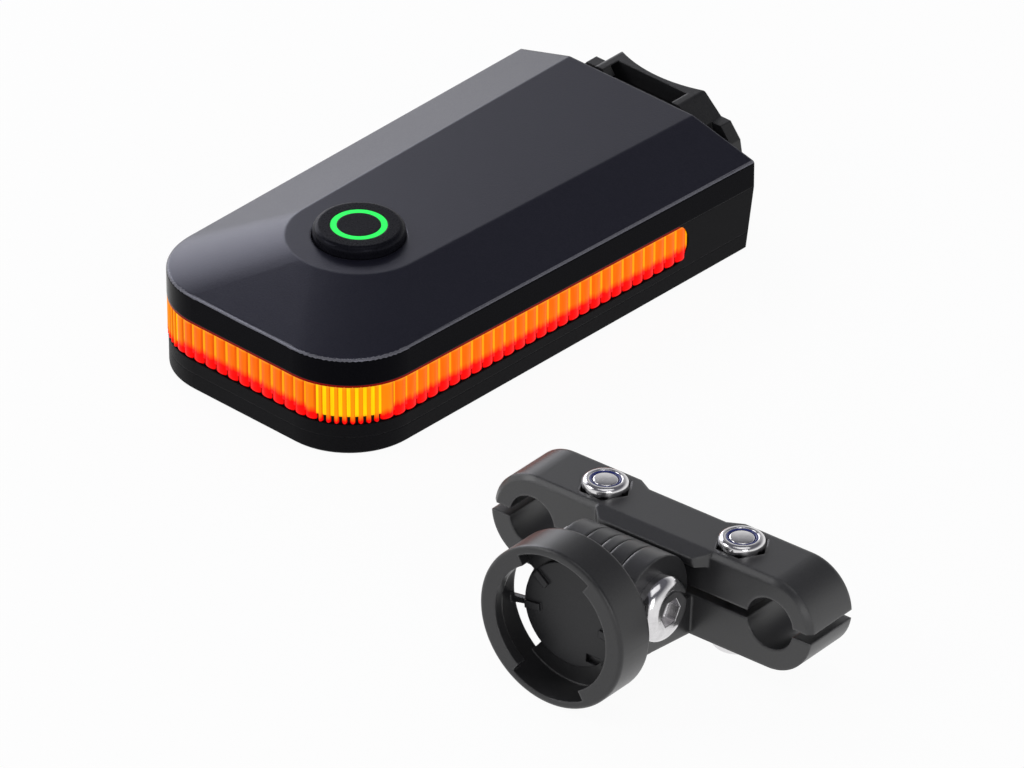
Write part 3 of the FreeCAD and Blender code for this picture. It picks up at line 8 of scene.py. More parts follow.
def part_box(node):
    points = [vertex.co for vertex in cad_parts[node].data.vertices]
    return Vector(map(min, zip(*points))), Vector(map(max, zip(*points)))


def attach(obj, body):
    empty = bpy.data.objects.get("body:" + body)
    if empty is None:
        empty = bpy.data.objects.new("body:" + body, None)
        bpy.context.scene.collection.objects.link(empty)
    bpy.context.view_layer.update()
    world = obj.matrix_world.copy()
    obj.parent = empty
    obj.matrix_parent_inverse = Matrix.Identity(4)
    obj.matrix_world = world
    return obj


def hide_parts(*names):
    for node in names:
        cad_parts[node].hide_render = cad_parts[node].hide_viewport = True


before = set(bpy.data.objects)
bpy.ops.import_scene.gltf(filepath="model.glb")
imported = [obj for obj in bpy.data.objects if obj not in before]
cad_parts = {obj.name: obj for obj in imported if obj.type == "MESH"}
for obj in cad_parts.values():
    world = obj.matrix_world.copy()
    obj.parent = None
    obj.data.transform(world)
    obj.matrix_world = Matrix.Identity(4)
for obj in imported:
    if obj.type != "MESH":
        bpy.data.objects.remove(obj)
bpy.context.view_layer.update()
scene = bpy.context.scene
MM = 0.001
WHITE = (1, 1, 1, 1)

# The light's own axes: its far face is at Y 0 and its middle at X 0.
cover_low, cover_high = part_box("top_cover")
light_place = Vector(((cover_low.x + cover_high.x) / 2, cover_high.y, 0))
light_axes = Matrix.Translation(light_place) @ Matrix.Scale(MM, 4)

# The bracket's own axes: X along the bar, Z up through it, turned and tipped a little.
BRACKET_PLACE = (39.902 * MM, -35.271 * MM, 10.237 * MM)
BRACKET_TURN = 5.2
BRACKET_TIP = -3.5363
bracket_axes = (
    Matrix.Translation(BRACKET_PLACE)
    @ Matrix.Rotation(math.radians(BRACKET_TURN), 4, "Z")
    @ Matrix.Rotation(math.radians(BRACKET_TIP), 4, "X")
    @ Matrix.Scale(MM, 4)
)


# Building blocks of every material


def node(tree, kind, **settings):
    made = tree.nodes.new("ShaderNode" + kind)
    for name, value in settings.items():
        setattr(made, name, value)
    return made


def feed(tree, value, socket):
    """Gives a socket a colour, a number or another node's output."""
    if isinstance(value, tuple):
        socket.default_value = value if len(value) == 4 else (*value, 1)
    elif isinstance(value, (int, float)):
        socket.default_value = value
    else:
        tree.links.new(value, socket)


def maths(tree, operation, *values):
    made = node(tree, "Math", operation=operation)
    for socket, value in zip(made.inputs, values):
        feed(tree, value, socket)
    return made.outputs[0]


def noise(tree, vector, scale, detail, rough):
    made = node(tree, "TexNoise")
    made.inputs["Detail"].default_value = detail
    made.inputs["Roughness"].default_value = rough
    tree.links.new(vector, made.inputs["Vector"])
    feed(tree, scale, made.inputs["Scale"])
    return made.outputs["Fac"]


def stretch(tree, value, low, high, new_low=0.0, new_high=1.0):
    """Spreads the part of a value from low to high over a new range."""
    made = node(tree, "MapRange", clamp=True)
    made.inputs["From Min"].default_value = low
    made.inputs["From Max"].default_value = high
    made.inputs["To Min"].default_value = new_low
    made.inputs["To Max"].default_value = new_high
    tree.links.new(value, made.inputs["Value"])
    return made.outputs["Result"]


def mapped(tree, vector, **settings):
    """Moves, turns or stretches a place before a texture reads it."""
    made = node(tree, "Mapping")
    for label, value in settings.items():
        made.inputs[label].default_value = value
    tree.links.new(vector, made.inputs["Vector"])
    return made.outputs["Vector"]


# Camera, lamps and table

# The camera as fitted to the photograph: angles in degrees, lengths in millimetres.
CAMERA_TURN = 42.76
CAMERA_TILT = 33.222
CAMERA_LENS = 354.5
CAMERA_SENSOR = 36
CAMERA_TARGET_Y = -0.6
CAMERA_RIGHT = -19.168
CAMERA_UP = -30.775
CAMERA_BACK = 1600
CAMERA_SIGHT = 20  # in metres

# Each soft lamp's place, width and height in metres, its power in watts and its colour.
LAMPS = {
    "softbox_left": ((-0.87, 0.29, 0.41), 0.7, 0.5, 3.6, (0.92, 0.92, 1.0)),
    "softbox_above": ((0.15, -0.05, 0.95), 0.7, 0.6, 1.4, (1, 1, 1)),
    "softbox_right": ((0.8, -0.45, 0.5), 0.35, 0.5, 1.6, (1, 1, 1)),
    "softbox_near": ((-0.60, -0.55, 0.62), 0.4, 0.4, 2.2, (1, 1, 1)),
}
LAMP_AIM = Vector((0, 0, 0.01))

# The room is white low down and fades to a cool grey overhead.
ROOM_FADE = ((0.22, WHITE), (0.64, (0.135, 0.135, 0.155, 1)))

TABLE_SIZE = 8
PAPER_COLOUR = (0.86, 0.86, 0.87, 1)
PAPER_GLOW = 0.95  # how far the paper shows as plain white to the camera and in reflections


def place_camera():
    """A long lens that looks down on the table from the near right."""
    turn, tilt = math.radians(CAMERA_TURN), math.radians(CAMERA_TILT)
    turn_sin, turn_cos = math.sin(turn), math.cos(turn)
    tilt_sin, tilt_cos = math.sin(tilt), math.cos(tilt)
    right = Vector((turn_cos, turn_sin, 0))
    ahead = Vector((-turn_sin * tilt_cos, turn_cos * tilt_cos, -tilt_sin))
    up = Vector((-turn_sin * tilt_sin, turn_cos * tilt_sin, tilt_cos))
    data = bpy.data.cameras.new("photo_camera")
    data.lens = CAMERA_LENS
    data.sensor_width = CAMERA_SENSOR
    data.clip_end = CAMERA_SIGHT
    camera = bpy.data.objects.new("photo_camera", data)
    scene.collection.objects.link(camera)
    target = light_place + Vector((0, CAMERA_TARGET_Y * MM, 0))
    spot = (CAMERA_RIGHT * right + CAMERA_UP * up - CAMERA_BACK * ahead) * MM + target
    facing = Matrix((right, up, -ahead)).transposed().to_4x4()
    camera.matrix_world = Matrix.Translation(spot) @ facing
    scene.camera = camera


def place_lamp(name, spot, wide, tall, power, colour):
    data = bpy.data.lights.new(name, "AREA")
    data.shape = "RECTANGLE"
    data.size, data.size_y, data.energy = wide, tall, power
    data.color = colour
    lamp = bpy.data.objects.new(name, data)
    scene.collection.objects.link(lamp)
    facing = (LAMP_AIM - Vector(spot)).to_track_quat("-Z", "Y").to_matrix().to_4x4()
    lamp.matrix_world = Matrix.Translation(spot) @ facing


def light_the_room():
    scene.view_settings.view_transform = "Standard"
    for name, settings in LAMPS.items():
        place_lamp(name, *settings)
    world = bpy.data.worlds.new("studio")
    scene.world = world
    world.use_nodes = True
    tree = world.node_tree
    tree.nodes.clear()
    split = node(tree, "SeparateXYZ")
    fade = node(tree, "ValToRGB")
    wall = node(tree, "Background")
    for stop, (position, colour) in zip(fade.color_ramp.elements, ROOM_FADE):
        stop.position = position
        stop.color = colour
    tree.links.new(node(tree, "TexCoord").outputs["Generated"], split.inputs[0])
    tree.links.new(split.outputs["Z"], fade.inputs["Fac"])
    tree.links.new(fade.outputs["Color"], wall.inputs["Color"])
    tree.links.new(wall.outputs[0], node(tree, "OutputWorld").inputs["Surface"])


def lay_the_table():
    bpy.ops.mesh.primitive_plane_add(size=TABLE_SIZE, location=(0, 0, 0))
    floor = bpy.context.object
    floor.name = "table_top"
    paper = bpy.data.materials.new("white_paper")
    paper.use_nodes = True
    tree = paper.node_tree
    tree.nodes.clear()
    matt = node(tree, "BsdfDiffuse")
    matt.inputs["Color"].default_value = PAPER_COLOUR
    glow = node(tree, "Emission")
    glow.inputs["Color"].default_value = WHITE
    path = node(tree, "LightPath").outputs
    rays = maths(tree, "ADD", path["Is Camera Ray"], path["Is Glossy Ray"])
    rays = maths(tree, "ADD", rays, path["Is Transmission Ray"])
    mix = node(tree, "MixShader")
    tree.links.new(maths(tree, "MULTIPLY", rays, PAPER_GLOW), mix.inputs[0])
    tree.links.new(matt.outputs[0], mix.inputs[1])
    tree.links.new(glow.outputs[0], mix.inputs[2])
    tree.links.new(mix.outputs[0], node(tree, "OutputMaterial").inputs["Surface"])
    floor.data.materials.append(paper)


# Shared surface effects, one node group each


def new_effect(name, inputs, outputs):
    group = bpy.data.node_groups.new(name, "ShaderNodeTree")
    for label, kind, value in inputs:
        socket = group.interface.new_socket(name=label, in_out="INPUT", socket_type=kind)
        if value is not None:
            socket.default_value = value
    for label in outputs:
        group.interface.new_socket(name=label, in_out="OUTPUT", socket_type="NodeSocketFloat")
    start = group.nodes.new("NodeGroupInput")
    end = group.nodes.new("NodeGroupOutput")
    return group, start.outputs, end.inputs


def new_texture(name, scale, outputs):
    """An effect that reads a place and a scale."""
    inputs = [("Place", "NodeSocketVector", None), ("Scale", "NodeSocketFloat", scale)]
    return new_effect(name, inputs, outputs)


def make_moulded_grain():
    """The fine sparkle of a spark-eroded mould: a height and a mottle."""
    group, start, end = new_texture("moulded_grain", 4000.0, ["Height", "Mottle"])
    fine = noise(group, start["Place"], start["Scale"], 2.0, 0.6)
    speck_scale = maths(group, "MULTIPLY", start["Scale"], 1.6)
    speck = noise(group, start["Place"], speck_scale, 1.0, 0.5)
    halves = [maths(group, "MULTIPLY", part, 0.5) for part in (fine, speck)]
    group.links.new(stretch(group, fine, 0.3, 0.7), end["Height"])
    group.links.new(stretch(group, maths(group, "ADD", *halves), 0.36, 0.64), end["Mottle"])
    return group


def make_handling():
    """Faint smears left by handling."""
    group, start, end = new_texture("handling", 60.0, ["Smear"])
    smear = noise(group, start["Place"], start["Scale"], 4.0, 0.6)
    group.links.new(stretch(group, smear, 0.42, 0.66), end["Smear"])
    return group


def make_edge_wear_and_highlight():
    """Where edges are lightened, as wear and as a painted highlight: the given edges, broken up by
    noise.
    """
    inputs = [
        ("Place", "NodeSocketVector", None),
        ("Edge", "NodeSocketFloat", 0.0),
        ("Scale", "NodeSocketFloat", 700.0),
    ]
    group, start, end = new_effect("edge_wear_and_highlight", inputs, ["Mask"])
    broken = stretch(group, noise(group, start["Place"], start["Scale"], 3.0, 0.6), 0.3, 0.6)
    edge = stretch(group, start["Edge"], 0.03, 0.22)
    group.links.new(maths(group, "MULTIPLY", edge, broken), end["Mask"])
    return group


def make_brushed():
    """Fine turned or drawn lines in metal."""
    group, start, end = new_texture("brushed", 1500.0, ["Lines"])
    drawn = mapped(group, start["Place"], Scale=(1.0, 1.0, 14.0))
    lines = noise(group, drawn, start["Scale"], 2.0, 0.5)
    group.links.new(stretch(group, lines, 0.3, 0.7), end["Lines"])
    return group


def make_lens_bands():
    """Shares of a lit lens by height: red at its foot, a bright rim, and a painted shadow along
    its top edge under the cover.
    """
    inputs = [
        ("Rise", "NodeSocketFloat", 0.5),
        ("Glow", "NodeSocketFloat", 0.0),
        ("Streak", "NodeSocketFloat", 0.5),
    ]
    group, start, end = new_effect("lens_bands", inputs, ["Red", "Rim", "Shadow"])
    wander = maths(group, "MULTIPLY", maths(group, "SUBTRACT", start["Streak"], 0.5), 0.16)
    level = maths(group, "ADD", start["Rise"], wander)
    level = maths(group, "ADD", level, maths(group, "MULTIPLY", start["Glow"], 0.19))
    group.links.new(stretch(group, level, 0.27, 0.43, 1.0, 0.0), end["Red"])
    group.links.new(stretch(group, start["Rise"], 0.88, 0.93), end["Rim"])
    group.links.new(stretch(group, start["Rise"], 0.945, 0.965), end["Shadow"])
    return group


moulded_grain = make_moulded_grain()
handling = make_handling()
edge_wear_and_highlight = make_edge_wear_and_highlight()
brushed = make_brushed()
lens_bands = make_lens_bands()


# Finishes


class Finish:
    """A material under construction: its tree, its shader and the place in the object."""

    def __init__(self, name, roughness, metallic=0.0, level=0.5):
        self.material = bpy.data.materials.new(name)
        self.material.use_nodes = True
        self.tree = self.material.node_tree
        self.shader = self.tree.nodes["Principled BSDF"]
        self.shader.inputs["Roughness"].default_value = roughness
        self.shader.inputs["Metallic"].default_value = metallic
        self.shader.inputs["Specular IOR Level"].default_value = level
        self.place = node(self.tree, "TexCoord").outputs["Object"]

    def effect(self, group, **values):
        made = node(self.tree, "Group", node_tree=group)
        if "Place" in made.inputs:
            self.tree.links.new(self.place, made.inputs["Place"])
        for label, value in values.items():
            feed(self.tree, value, made.inputs[label])
        return made.outputs

    def own(self, attribute):
        """A value that the mesh stores at each of its points."""
        return node(self.tree, "Attribute", attribute_name=attribute).outputs["Fac"]

    def blend(self, share, one, two):
        made = node(self.tree, "Mix", data_type="RGBA")
        feed(self.tree, share, made.inputs["Factor"])
        feed(self.tree, one, made.inputs[6])
        feed(self.tree, two, made.inputs[7])
        return made.outputs[2]

    def bump(self, height, depth, after=None):
        made = node(self.tree, "Bump")
        made.inputs["Strength"].default_value = 1.0
        made.inputs["Distance"].default_value = depth
        self.tree.links.new(height, made.inputs["Height"])
        if after is not None:
            self.tree.links.new(after, made.inputs["Normal"])
        return made.outputs["Normal"]

    def soft_edges(self, radius):
        """A normal rounded over the edges, and how far it leans there."""
        rounded = node(self.tree, "Bevel", samples=6)
        rounded.inputs["Radius"].default_value = radius
        lean = node(self.tree, "VectorMath", operation="DOT_PRODUCT")
        self.tree.links.new(rounded.outputs["Normal"], lean.inputs[0])
        self.tree.links.new(node(self.tree, "NewGeometry").outputs["Normal"], lean.inputs[1])
        away = maths(self.tree, "SUBTRACT", 1.0, lean.outputs["Value"])
        return rounded.outputs["Normal"], away

    def set(self, **sockets):
        for label, value in sockets.items():
            feed(self.tree, value, self.shader.inputs[label.replace("_", " ")])
        return self.material


COOL_SHINE = (0.78, 0.79, 1.0, 1)

PLASTIC_SMEARS = 45.0  # scale of the smears
WORN_HIGHLIGHT_GAIN = 1.9  # how much paler a worn edge with its painted highlight is than the pale shade
WORN_HIGHLIGHT_SHARE = 0.5
WORN_GLOSS = 0.06
SMEAR_GLOSS = 0.35  # share of the roughness's spread

METAL_SMEARS = 300.0
METAL_EDGE = 0.0002
METAL_DULL = 0.05

LENS_BODY = (0.06, 0.001, 0.0)
LENS_STREAK = (1.0, 0.30, 0.0)
LENS_RIM = (1.0, 0.42, 0.02)
# Painted shadow: the dark red laid along the lens's top, where the cover's edge shades it.
LENS_SHADOW = (0.17, 0.0, 0.0)

RING_RADIUS = 3.94 * MM
RING_BODY = (0.0, 0.25, 0.04)
RING_MIDDLE = (0.0, 1.0, 0.09)
RING_SIDE = (0.0, 0.62, 0.05)
RING_CLOUD = (0.02, 0.85, 0.12)

BOARD_DARK = (0.010, 0.095, 0.030)
BOARD_PALE = (0.014, 0.125, 0.042)
BOARD_TRACK = (0.03, 0.20, 0.07)
BOARD_DEPTH = 2e-5


def moulded_plastic(name, colour, pale, roughness, spread, grain, depth,
                    level=0.5, edge=0.0003, tint=WHITE, rub_and_highlight=0.010):
    """Moulded plastic or rubber: mottled grain, softened edges lightened by wear and a painted
    highlight, faint smears.

    The colour mottles from colour to pale, and the roughness by its spread to each side.
    Grain is the scale of the texture and depth its height in metres. Level and tint set
    the shine, edge is the radius of the softened edges, and the last value lightens them
    both as wear and as a painted highlight.
    """
    made = Finish(name, roughness, level=level)
    tree = made.tree
    texture = made.effect(moulded_grain, Scale=grain)
    smear = made.effect(handling, Scale=PLASTIC_SMEARS)["Smear"]
    rounded, lean = made.soft_edges(edge)
    worn_and_highlit_edges = made.effect(edge_wear_and_highlight, Edge=lean)["Mask"]
    worn_and_highlit = tuple(min(1.0, shade * WORN_HIGHLIGHT_GAIN + rub_and_highlight) for shade in pale)
    body = made.blend(texture["Mottle"], colour, pale)
    # Wear and painted highlight: the edges found by the bevel are lightened towards the worn
    # colour.
    body = made.blend(maths(tree, "MULTIPLY", worn_and_highlit_edges, WORN_HIGHLIGHT_SHARE), body, worn_and_highlit)
    rough = stretch(tree, texture["Mottle"], 0, 1, roughness - spread, roughness + spread)
    polish = maths(tree, "MULTIPLY", smear, spread * SMEAR_GLOSS)
    rough = maths(tree, "SUBTRACT", rough, polish)
    rough = maths(tree, "SUBTRACT", rough, maths(tree, "MULTIPLY", worn_and_highlit_edges, WORN_GLOSS))
    bumps = made.bump(texture["Height"], depth, rounded)
    return made.set(Base_Color=body, Roughness=rough, Normal=bumps, Specular_Tint=tint)


def bright_metal(name, colour, dull, roughness, lines, depth):
    """Turned or plated steel: fine tool lines, softened edges and dulled patches."""
    made = Finish(name, roughness, metallic=1.0)
    tree = made.tree
    drawn = made.effect(brushed, Scale=lines)["Lines"]
    smear = made.effect(handling, Scale=METAL_SMEARS)["Smear"]
    rounded, _ = made.soft_edges(METAL_EDGE)
    rough = stretch(tree, drawn, 0, 1, roughness * 0.7, roughness * 1.4)
    rough = maths(tree, "ADD", rough, maths(tree, "MULTIPLY", smear, METAL_DULL))
    body = made.blend(smear, colour, dull)
    return made.set(Base_Color=body, Roughness=rough, Normal=made.bump(drawn, depth, rounded))


def lens_finish(name, clear, near_lamp, low, painted_side_shade):
    """Red polycarbonate lit from behind: its colour runs from red to amber by height."""
    made = Finish(name, 0.20, level=0.06)
    tree = made.tree
    streak = noise(tree, mapped(tree, made.place, Scale=(1.0, 1.0, 0.08)), 1900.0, 2.0, 0.5)
    glow = made.own("glow")
    bands = made.effect(lens_bands, Rise=made.own("rise"), Glow=glow, Streak=streak)
    lit = made.blend(glow, clear, near_lamp)
    # Painted shade: one side of each rib darkens, by its across value, to the side shade colour,
    # standing for the rib's self-shadow.
    lit = made.blend(stretch(tree, made.own("across"), 0.45, 0.90), lit, painted_side_shade)
    lit = made.blend(stretch(tree, streak, 0.35, 0.75, 0.0, 0.30), lit, LENS_STREAK)
    lit = made.blend(maths(tree, "MULTIPLY", bands["Rim"], 0.55), lit, LENS_RIM)
    lit = made.blend(bands["Red"], lit, low)
    # Painted shadow under the cover along the lens's top edge.
    lit = made.blend(bands["Shadow"], lit, LENS_SHADOW)
    rough = stretch(tree, streak, 0.3, 0.7, 0.14, 0.28)
    return made.set(
        Base_Color=LENS_BODY, Emission_Color=lit, Emission_Strength=1.0, Roughness=rough
    )


def ring_finish():
    """Milky ring lit green from below, palest along its middle line."""
    made = Finish("ring_glow", 0.3, level=0.3)
    tree = made.tree
    ring_low, ring_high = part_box("button_ring")
    centre = (ring_low + ring_high) / 2
    reach = node(tree, "VectorMath", operation="LENGTH")
    spoke = mapped(tree, made.place, Location=tuple(-side for side in centre))
    tree.links.new(spoke, reach.inputs[0])
    off = maths(tree, "SUBTRACT", reach.outputs["Value"], RING_RADIUS)
    off = stretch(tree, maths(tree, "ABSOLUTE", off), 0.20 * MM, 0.55 * MM)
    cloud = stretch(tree, noise(tree, made.place, 900.0, 2.0, 0.5), 0.4, 0.7, 0.0, 0.25)
    lit = made.blend(cloud, made.blend(off, RING_MIDDLE, RING_SIDE), RING_CLOUD)
    return made.set(Base_Color=RING_BODY, Emission_Color=lit, Emission_Strength=1.0)


def board_finish():
    """Green solder mask with faint copper tracks under it."""
    made = Finish("board_green", 0.35)
    tree = made.tree
    drawn = noise(tree, mapped(tree, made.place, Scale=(1.0, 0.12, 1.0)), 1400.0, 0.0, 0.5)
    tracks = stretch(tree, drawn, 0.52, 0.55)
    cloud = noise(tree, made.place, 260.0, 3.0, 0.6)
    body = made.blend(stretch(tree, cloud, 0.3, 0.7), BOARD_DARK, BOARD_PALE)
    body = made.blend(maths(tree, "MULTIPLY", tracks, 0.6), body, BOARD_TRACK)
    rough = stretch(tree, cloud, 0.3, 0.7, 0.28, 0.42)
    return made.set(Base_Color=body, Roughness=rough, Normal=made.bump(tracks, BOARD_DEPTH))


PLASTICS = {
    "top_cover": dict(
        name="cover_charcoal", colour=(0.006, 0.006, 0.0115), pale=(0.011, 0.011, 0.018),
        roughness=0.33, spread=0.04, grain=3600, depth=6e-6,
        level=0.45, edge=0.0005, tint=COOL_SHINE,
    ),
    "cover_band": dict(
        name="band_gloss", colour=(0.0015, 0.0015, 0.002), pale=(0.003, 0.003, 0.004),
        roughness=0.18, spread=0.03, grain=3600, depth=2e-6,
        level=0.03, tint=COOL_SHINE,
    ),
    # Painted highlight: a pale finish for the edge over the band, standing for the line of light
    # along it.
    "cover_edge_highlight": dict(
        name="edge_painted_highlight", colour=(0.10, 0.10, 0.115), pale=(0.14, 0.14, 0.155),
        roughness=0.26, spread=0.03, grain=3600, depth=2e-6,
        tint=COOL_SHINE,
    ),
    "cover_seal": dict(
        name="seal_rubber", colour=(0.012, 0.012, 0.012), pale=(0.02, 0.02, 0.02),
        roughness=0.75, spread=0.05, grain=1500, depth=1e-5,
    ),
    "lower_housing": dict(
        name="housing_black", colour=(0.003, 0.003, 0.004), pale=(0.006, 0.006, 0.007),
        roughness=0.46, spread=0.06, grain=4200, depth=1e-5, level=0.05,
    ),
    "bottom_cover": dict(
        name="base_black", colour=(0.003, 0.003, 0.004), pale=(0.006, 0.006, 0.007),
        roughness=0.46, spread=0.06, grain=4200, depth=1e-5, level=0.05,
    ),
    "button_cap": dict(
        name="button_black", colour=(0.004, 0.004, 0.006), pale=(0.007, 0.007, 0.010),
        roughness=0.30, spread=0.04, grain=3000, depth=3e-6,
        level=0.07, tint=COOL_SHINE,
    ),
    "post_adapter": dict(
        name="adapter_nylon", colour=(0.010, 0.010, 0.011), pale=(0.016, 0.016, 0.017),
        roughness=0.42, spread=0.05, grain=3000, depth=8e-6, level=0.35,
    ),
    "adapter_pad": dict(
        name="pad_rubber", colour=(0.008, 0.008, 0.008), pale=(0.014, 0.014, 0.014),
        roughness=0.8, spread=0.05, grain=1200, depth=2e-5,
    ),
    "turn_boss": dict(
        name="boss_nylon", colour=(0.012, 0.012, 0.013), pale=(0.020, 0.020, 0.021),
        roughness=0.5, spread=0.06, grain=3000, depth=1e-5,
    ),
    "port_cover": dict(
        name="flap_rubber", colour=(0.010, 0.010, 0.011), pale=(0.016, 0.016, 0.018),
        roughness=0.7, spread=0.05, grain=1800, depth=2e-5,
    ),
    # The bracket and its ring have their edges lightened well past wear, as a painted highlight.
    "clamp_upper": dict(
        name="bracket_black", colour=(0.013, 0.013, 0.0142), pale=(0.019, 0.019, 0.0205),
        roughness=0.37, spread=0.03, grain=3000, depth=3e-6,
        level=0.70, edge=0.0006, rub_and_highlight=0.10,
    ),
    "socket_ring": dict(
        name="ring_black", colour=(0.014, 0.014, 0.0150), pale=(0.020, 0.020, 0.0212),
        roughness=0.35, spread=0.03, grain=3000, depth=3e-6,
        level=0.50, edge=0.0005, rub_and_highlight=0.10,
    ),
    "detent_plate": dict(
        name="detent_black", colour=(0.012, 0.012, 0.013), pale=(0.018, 0.018, 0.020),
        roughness=0.42, spread=0.05, grain=2600, depth=6e-6, level=0.35,
    ),
    "tact_switch": dict(
        name="switch_black", colour=(0.03, 0.03, 0.034), pale=(0.05, 0.05, 0.055),
        roughness=0.5, spread=0.06, grain=2600, depth=8e-6,
    ),
    "switch_plunger": dict(
        name="plunger_brown", colour=(0.10, 0.06, 0.04), pale=(0.16, 0.10, 0.06),
        roughness=0.5, spread=0.06, grain=2600, depth=8e-6,
    ),
    "light_guide": dict(
        name="guide_milk", colour=(0.62, 0.55, 0.50), pale=(0.78, 0.72, 0.66),
        roughness=0.35, spread=0.05, grain=900, depth=4e-6,
    ),
    "side_leds": dict(
        name="lamp_milk", colour=(0.75, 0.68, 0.42), pale=(0.90, 0.84, 0.60),
        roughness=0.3, spread=0.05, grain=1500, depth=2e-6,
    ),
    "nut_inserts": dict(
        name="nylon_blue", colour=(0.002, 0.008, 0.100), pale=(0.004, 0.016, 0.170),
        roughness=0.34, spread=0.04, grain=2400, depth=3e-6,
    ),
}
METALS = {
    "housing_screws": dict(
        name="screw_steel", colour=(0.46, 0.46, 0.46), dull=(0.36, 0.35, 0.34),
        roughness=0.32, lines=2500, depth=4e-6,
    ),
    "usb_socket": dict(
        name="port_steel", colour=(0.52, 0.52, 0.53), dull=(0.42, 0.42, 0.42),
        roughness=0.3, lines=3000, depth=3e-6,
    ),
    "lock_nuts": dict(
        name="bolt_steel", colour=(0.74, 0.73, 0.74), dull=(0.60, 0.59, 0.60),
        roughness=0.11, lines=3000, depth=8e-7,
    ),
    "battery_cell": dict(
        name="cell_foil", colour=(0.60, 0.61, 0.63), dull=(0.48, 0.49, 0.50),
        roughness=0.35, lines=500, depth=2e-5,
    ),
}
# The side shade colour is painted shade on one side of each rib; the wall has no across value, so
# it never shows there.
LENSES = {
    "lens_rib": dict(
        name="lens_rib_lit", clear=(1.0, 0.145, 0.0), near_lamp=(1.0, 0.31, 0.0),
        low=(1.0, 0.0, 0.0), painted_side_shade=(0.62, 0.030, 0.0),
    ),
    "lens_valley": dict(
        name="lens_valley_lit", clear=(1.0, 0.40, 0.0), near_lamp=(1.0, 0.74, 0.0),
        low=(0.95, 0.01, 0.01), painted_side_shade=(1.0, 0.5, 0.0),
    ),
}
# Nodes and pieces with no row of their own, and the one whose finish they take.
ALIKE = {
    "status_led": "side_leds",
    "rear_leds": "side_leds",
    "boss_screws": "housing_screws",
    "clamp_bolts": "lock_nuts",
    "pivot_screw": "lock_nuts",
    "pivot_nut": "lock_nuts",
    "clamp_lower": "clamp_upper",
    "side_lens": "lens_rib",
}


def make_finishes():
    made = {}
    for make, rows in ((moulded_plastic, PLASTICS), (bright_metal, METALS), (lens_finish, LENSES)):
        for name, row in rows.items():
            made[name] = make(**row)
    made["button_ring"] = ring_finish()
    made["circuit_board"] = board_finish()
    return made


def dress(piece, *names):
    piece.data.materials.clear()
    for name in names:
        piece.data.materials.append(finishes[ALIKE.get(name, name)])


# Modelling by hand: each piece is made in millimetres on its own axes


def deselect():
    if bpy.context.object and bpy.context.object.mode != "OBJECT":
        bpy.ops.object.mode_set(mode="OBJECT")
    bpy.ops.object.select_all(action="DESELECT")


def choose(piece):
    deselect()
    piece.select_set(True)
    bpy.context.view_layer.objects.active = piece


def edit(piece, select="DESELECT"):
    choose(piece)
    bpy.ops.object.mode_set(mode="EDIT")
    bpy.ops.mesh.select_all(action=select)


def leave_edit():
    bpy.ops.object.mode_set(mode="OBJECT")


def pick(piece, kind, wanted):
    """In edit mode, leaves selected only the corners, edges or faces that are wanted."""
    bpy.ops.mesh.select_mode(type=kind)
    bpy.ops.mesh.select_all(action="DESELECT")
    mesh = bmesh.from_edit_mesh(piece.data)
    parts = {"VERT": mesh.verts, "EDGE": mesh.edges, "FACE": mesh.faces}[kind]
    for part in parts:
        if wanted(part):
            part.select_set(True)
    mesh.select_flush_mode()
    bmesh.update_edit_mesh(piece.data)


def round_edges(piece, wanted, radius, segments):
    pick(piece, "EDGE", wanted)
    bpy.ops.mesh.bevel(offset=radius, segments=segments, profile=0.5, clamp_overlap=False)


def resize(x, y, z):
    bpy.ops.transform.resize(value=(x, y, z), center_override=(0, 0, 0))


def shift(x, y, z):
    bpy.ops.transform.translate(value=(x, y, z))


def named(piece, name):
    piece.name = name
    piece.data.name = name
    return piece


def twin(piece):
    """A copy of a piece, with a mesh of its own."""
    made = piece.copy()
    made.data = piece.data.copy()
    scene.collection.objects.link(made)
    return made


def join(pieces, name):
    choose(pieces[0])
    for piece in pieces:
        piece.select_set(True)
    bpy.ops.object.join()
    return named(pieces[0], name)


def fix_place(piece):
    """Moves a piece's place into its mesh."""
    choose(piece)
    bpy.ops.object.transform_apply(location=True, rotation=True, scale=True)
    return piece


def apply_modifier(piece, kind, **settings):
    choose(piece)
    made = piece.modifiers.new(kind.title(), kind)
    for name, value in settings.items():
        setattr(made, name, value)
    bpy.ops.object.modifier_apply(modifier=made.name)


def settle(piece, axes, body, slot, *nodes, smooth=35):
    """Sets a piece made in millimetres into its place and ties it to its body."""
    choose(piece)
    piece.data.transform(axes)
    bpy.ops.object.shade_smooth_by_angle(angle=math.radians(smooth))
    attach(piece, body)
    if nodes:
        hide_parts(*nodes)


def merged_copy(node_name, name):
    """A copy of a fixed node, its loose triangles joined into one skin that keeps its shading."""
    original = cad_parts[node_name]
    ways = [tuple(corner.vector) for corner in original.data.corner_normals]
    piece = twin(original)
    for key in list(piece.keys()):
        del piece[key]
    piece.parent = None
    named(piece, name)
    edit(piece, "SELECT")
    bpy.ops.mesh.remove_doubles(threshold=1e-7)
    leave_edit()
    if len(ways) == len(piece.data.loops):
        piece.data.normals_split_custom_set(ways)
    return piece


# Side lens: a lit wall behind a row of ribs, a rail above them painted as the shadow under the
# cover, and a sill at their tips

# Its plan, which narrows towards the near end and turns two round corners there
FAR_HALF = 25
SIDE_SLOPE = 0.022
LEAN = math.atan(SIDE_SLOPE)
CORNER = 12.5
CORNER_X = 10.801
CORNER_Y = -77.1
NEAR_END = CORNER_Y - CORNER
LENS_END = -14.9
MIDWAY = -50  # every corner of a wall is well to one side of this

# Its lower edge and the seam above it: height at the far face, and rise for each millimetre
FOOT, FOOT_RISE = 4.2, 0.014
SEAM, SEAM_RISE = 11.05, 0.018

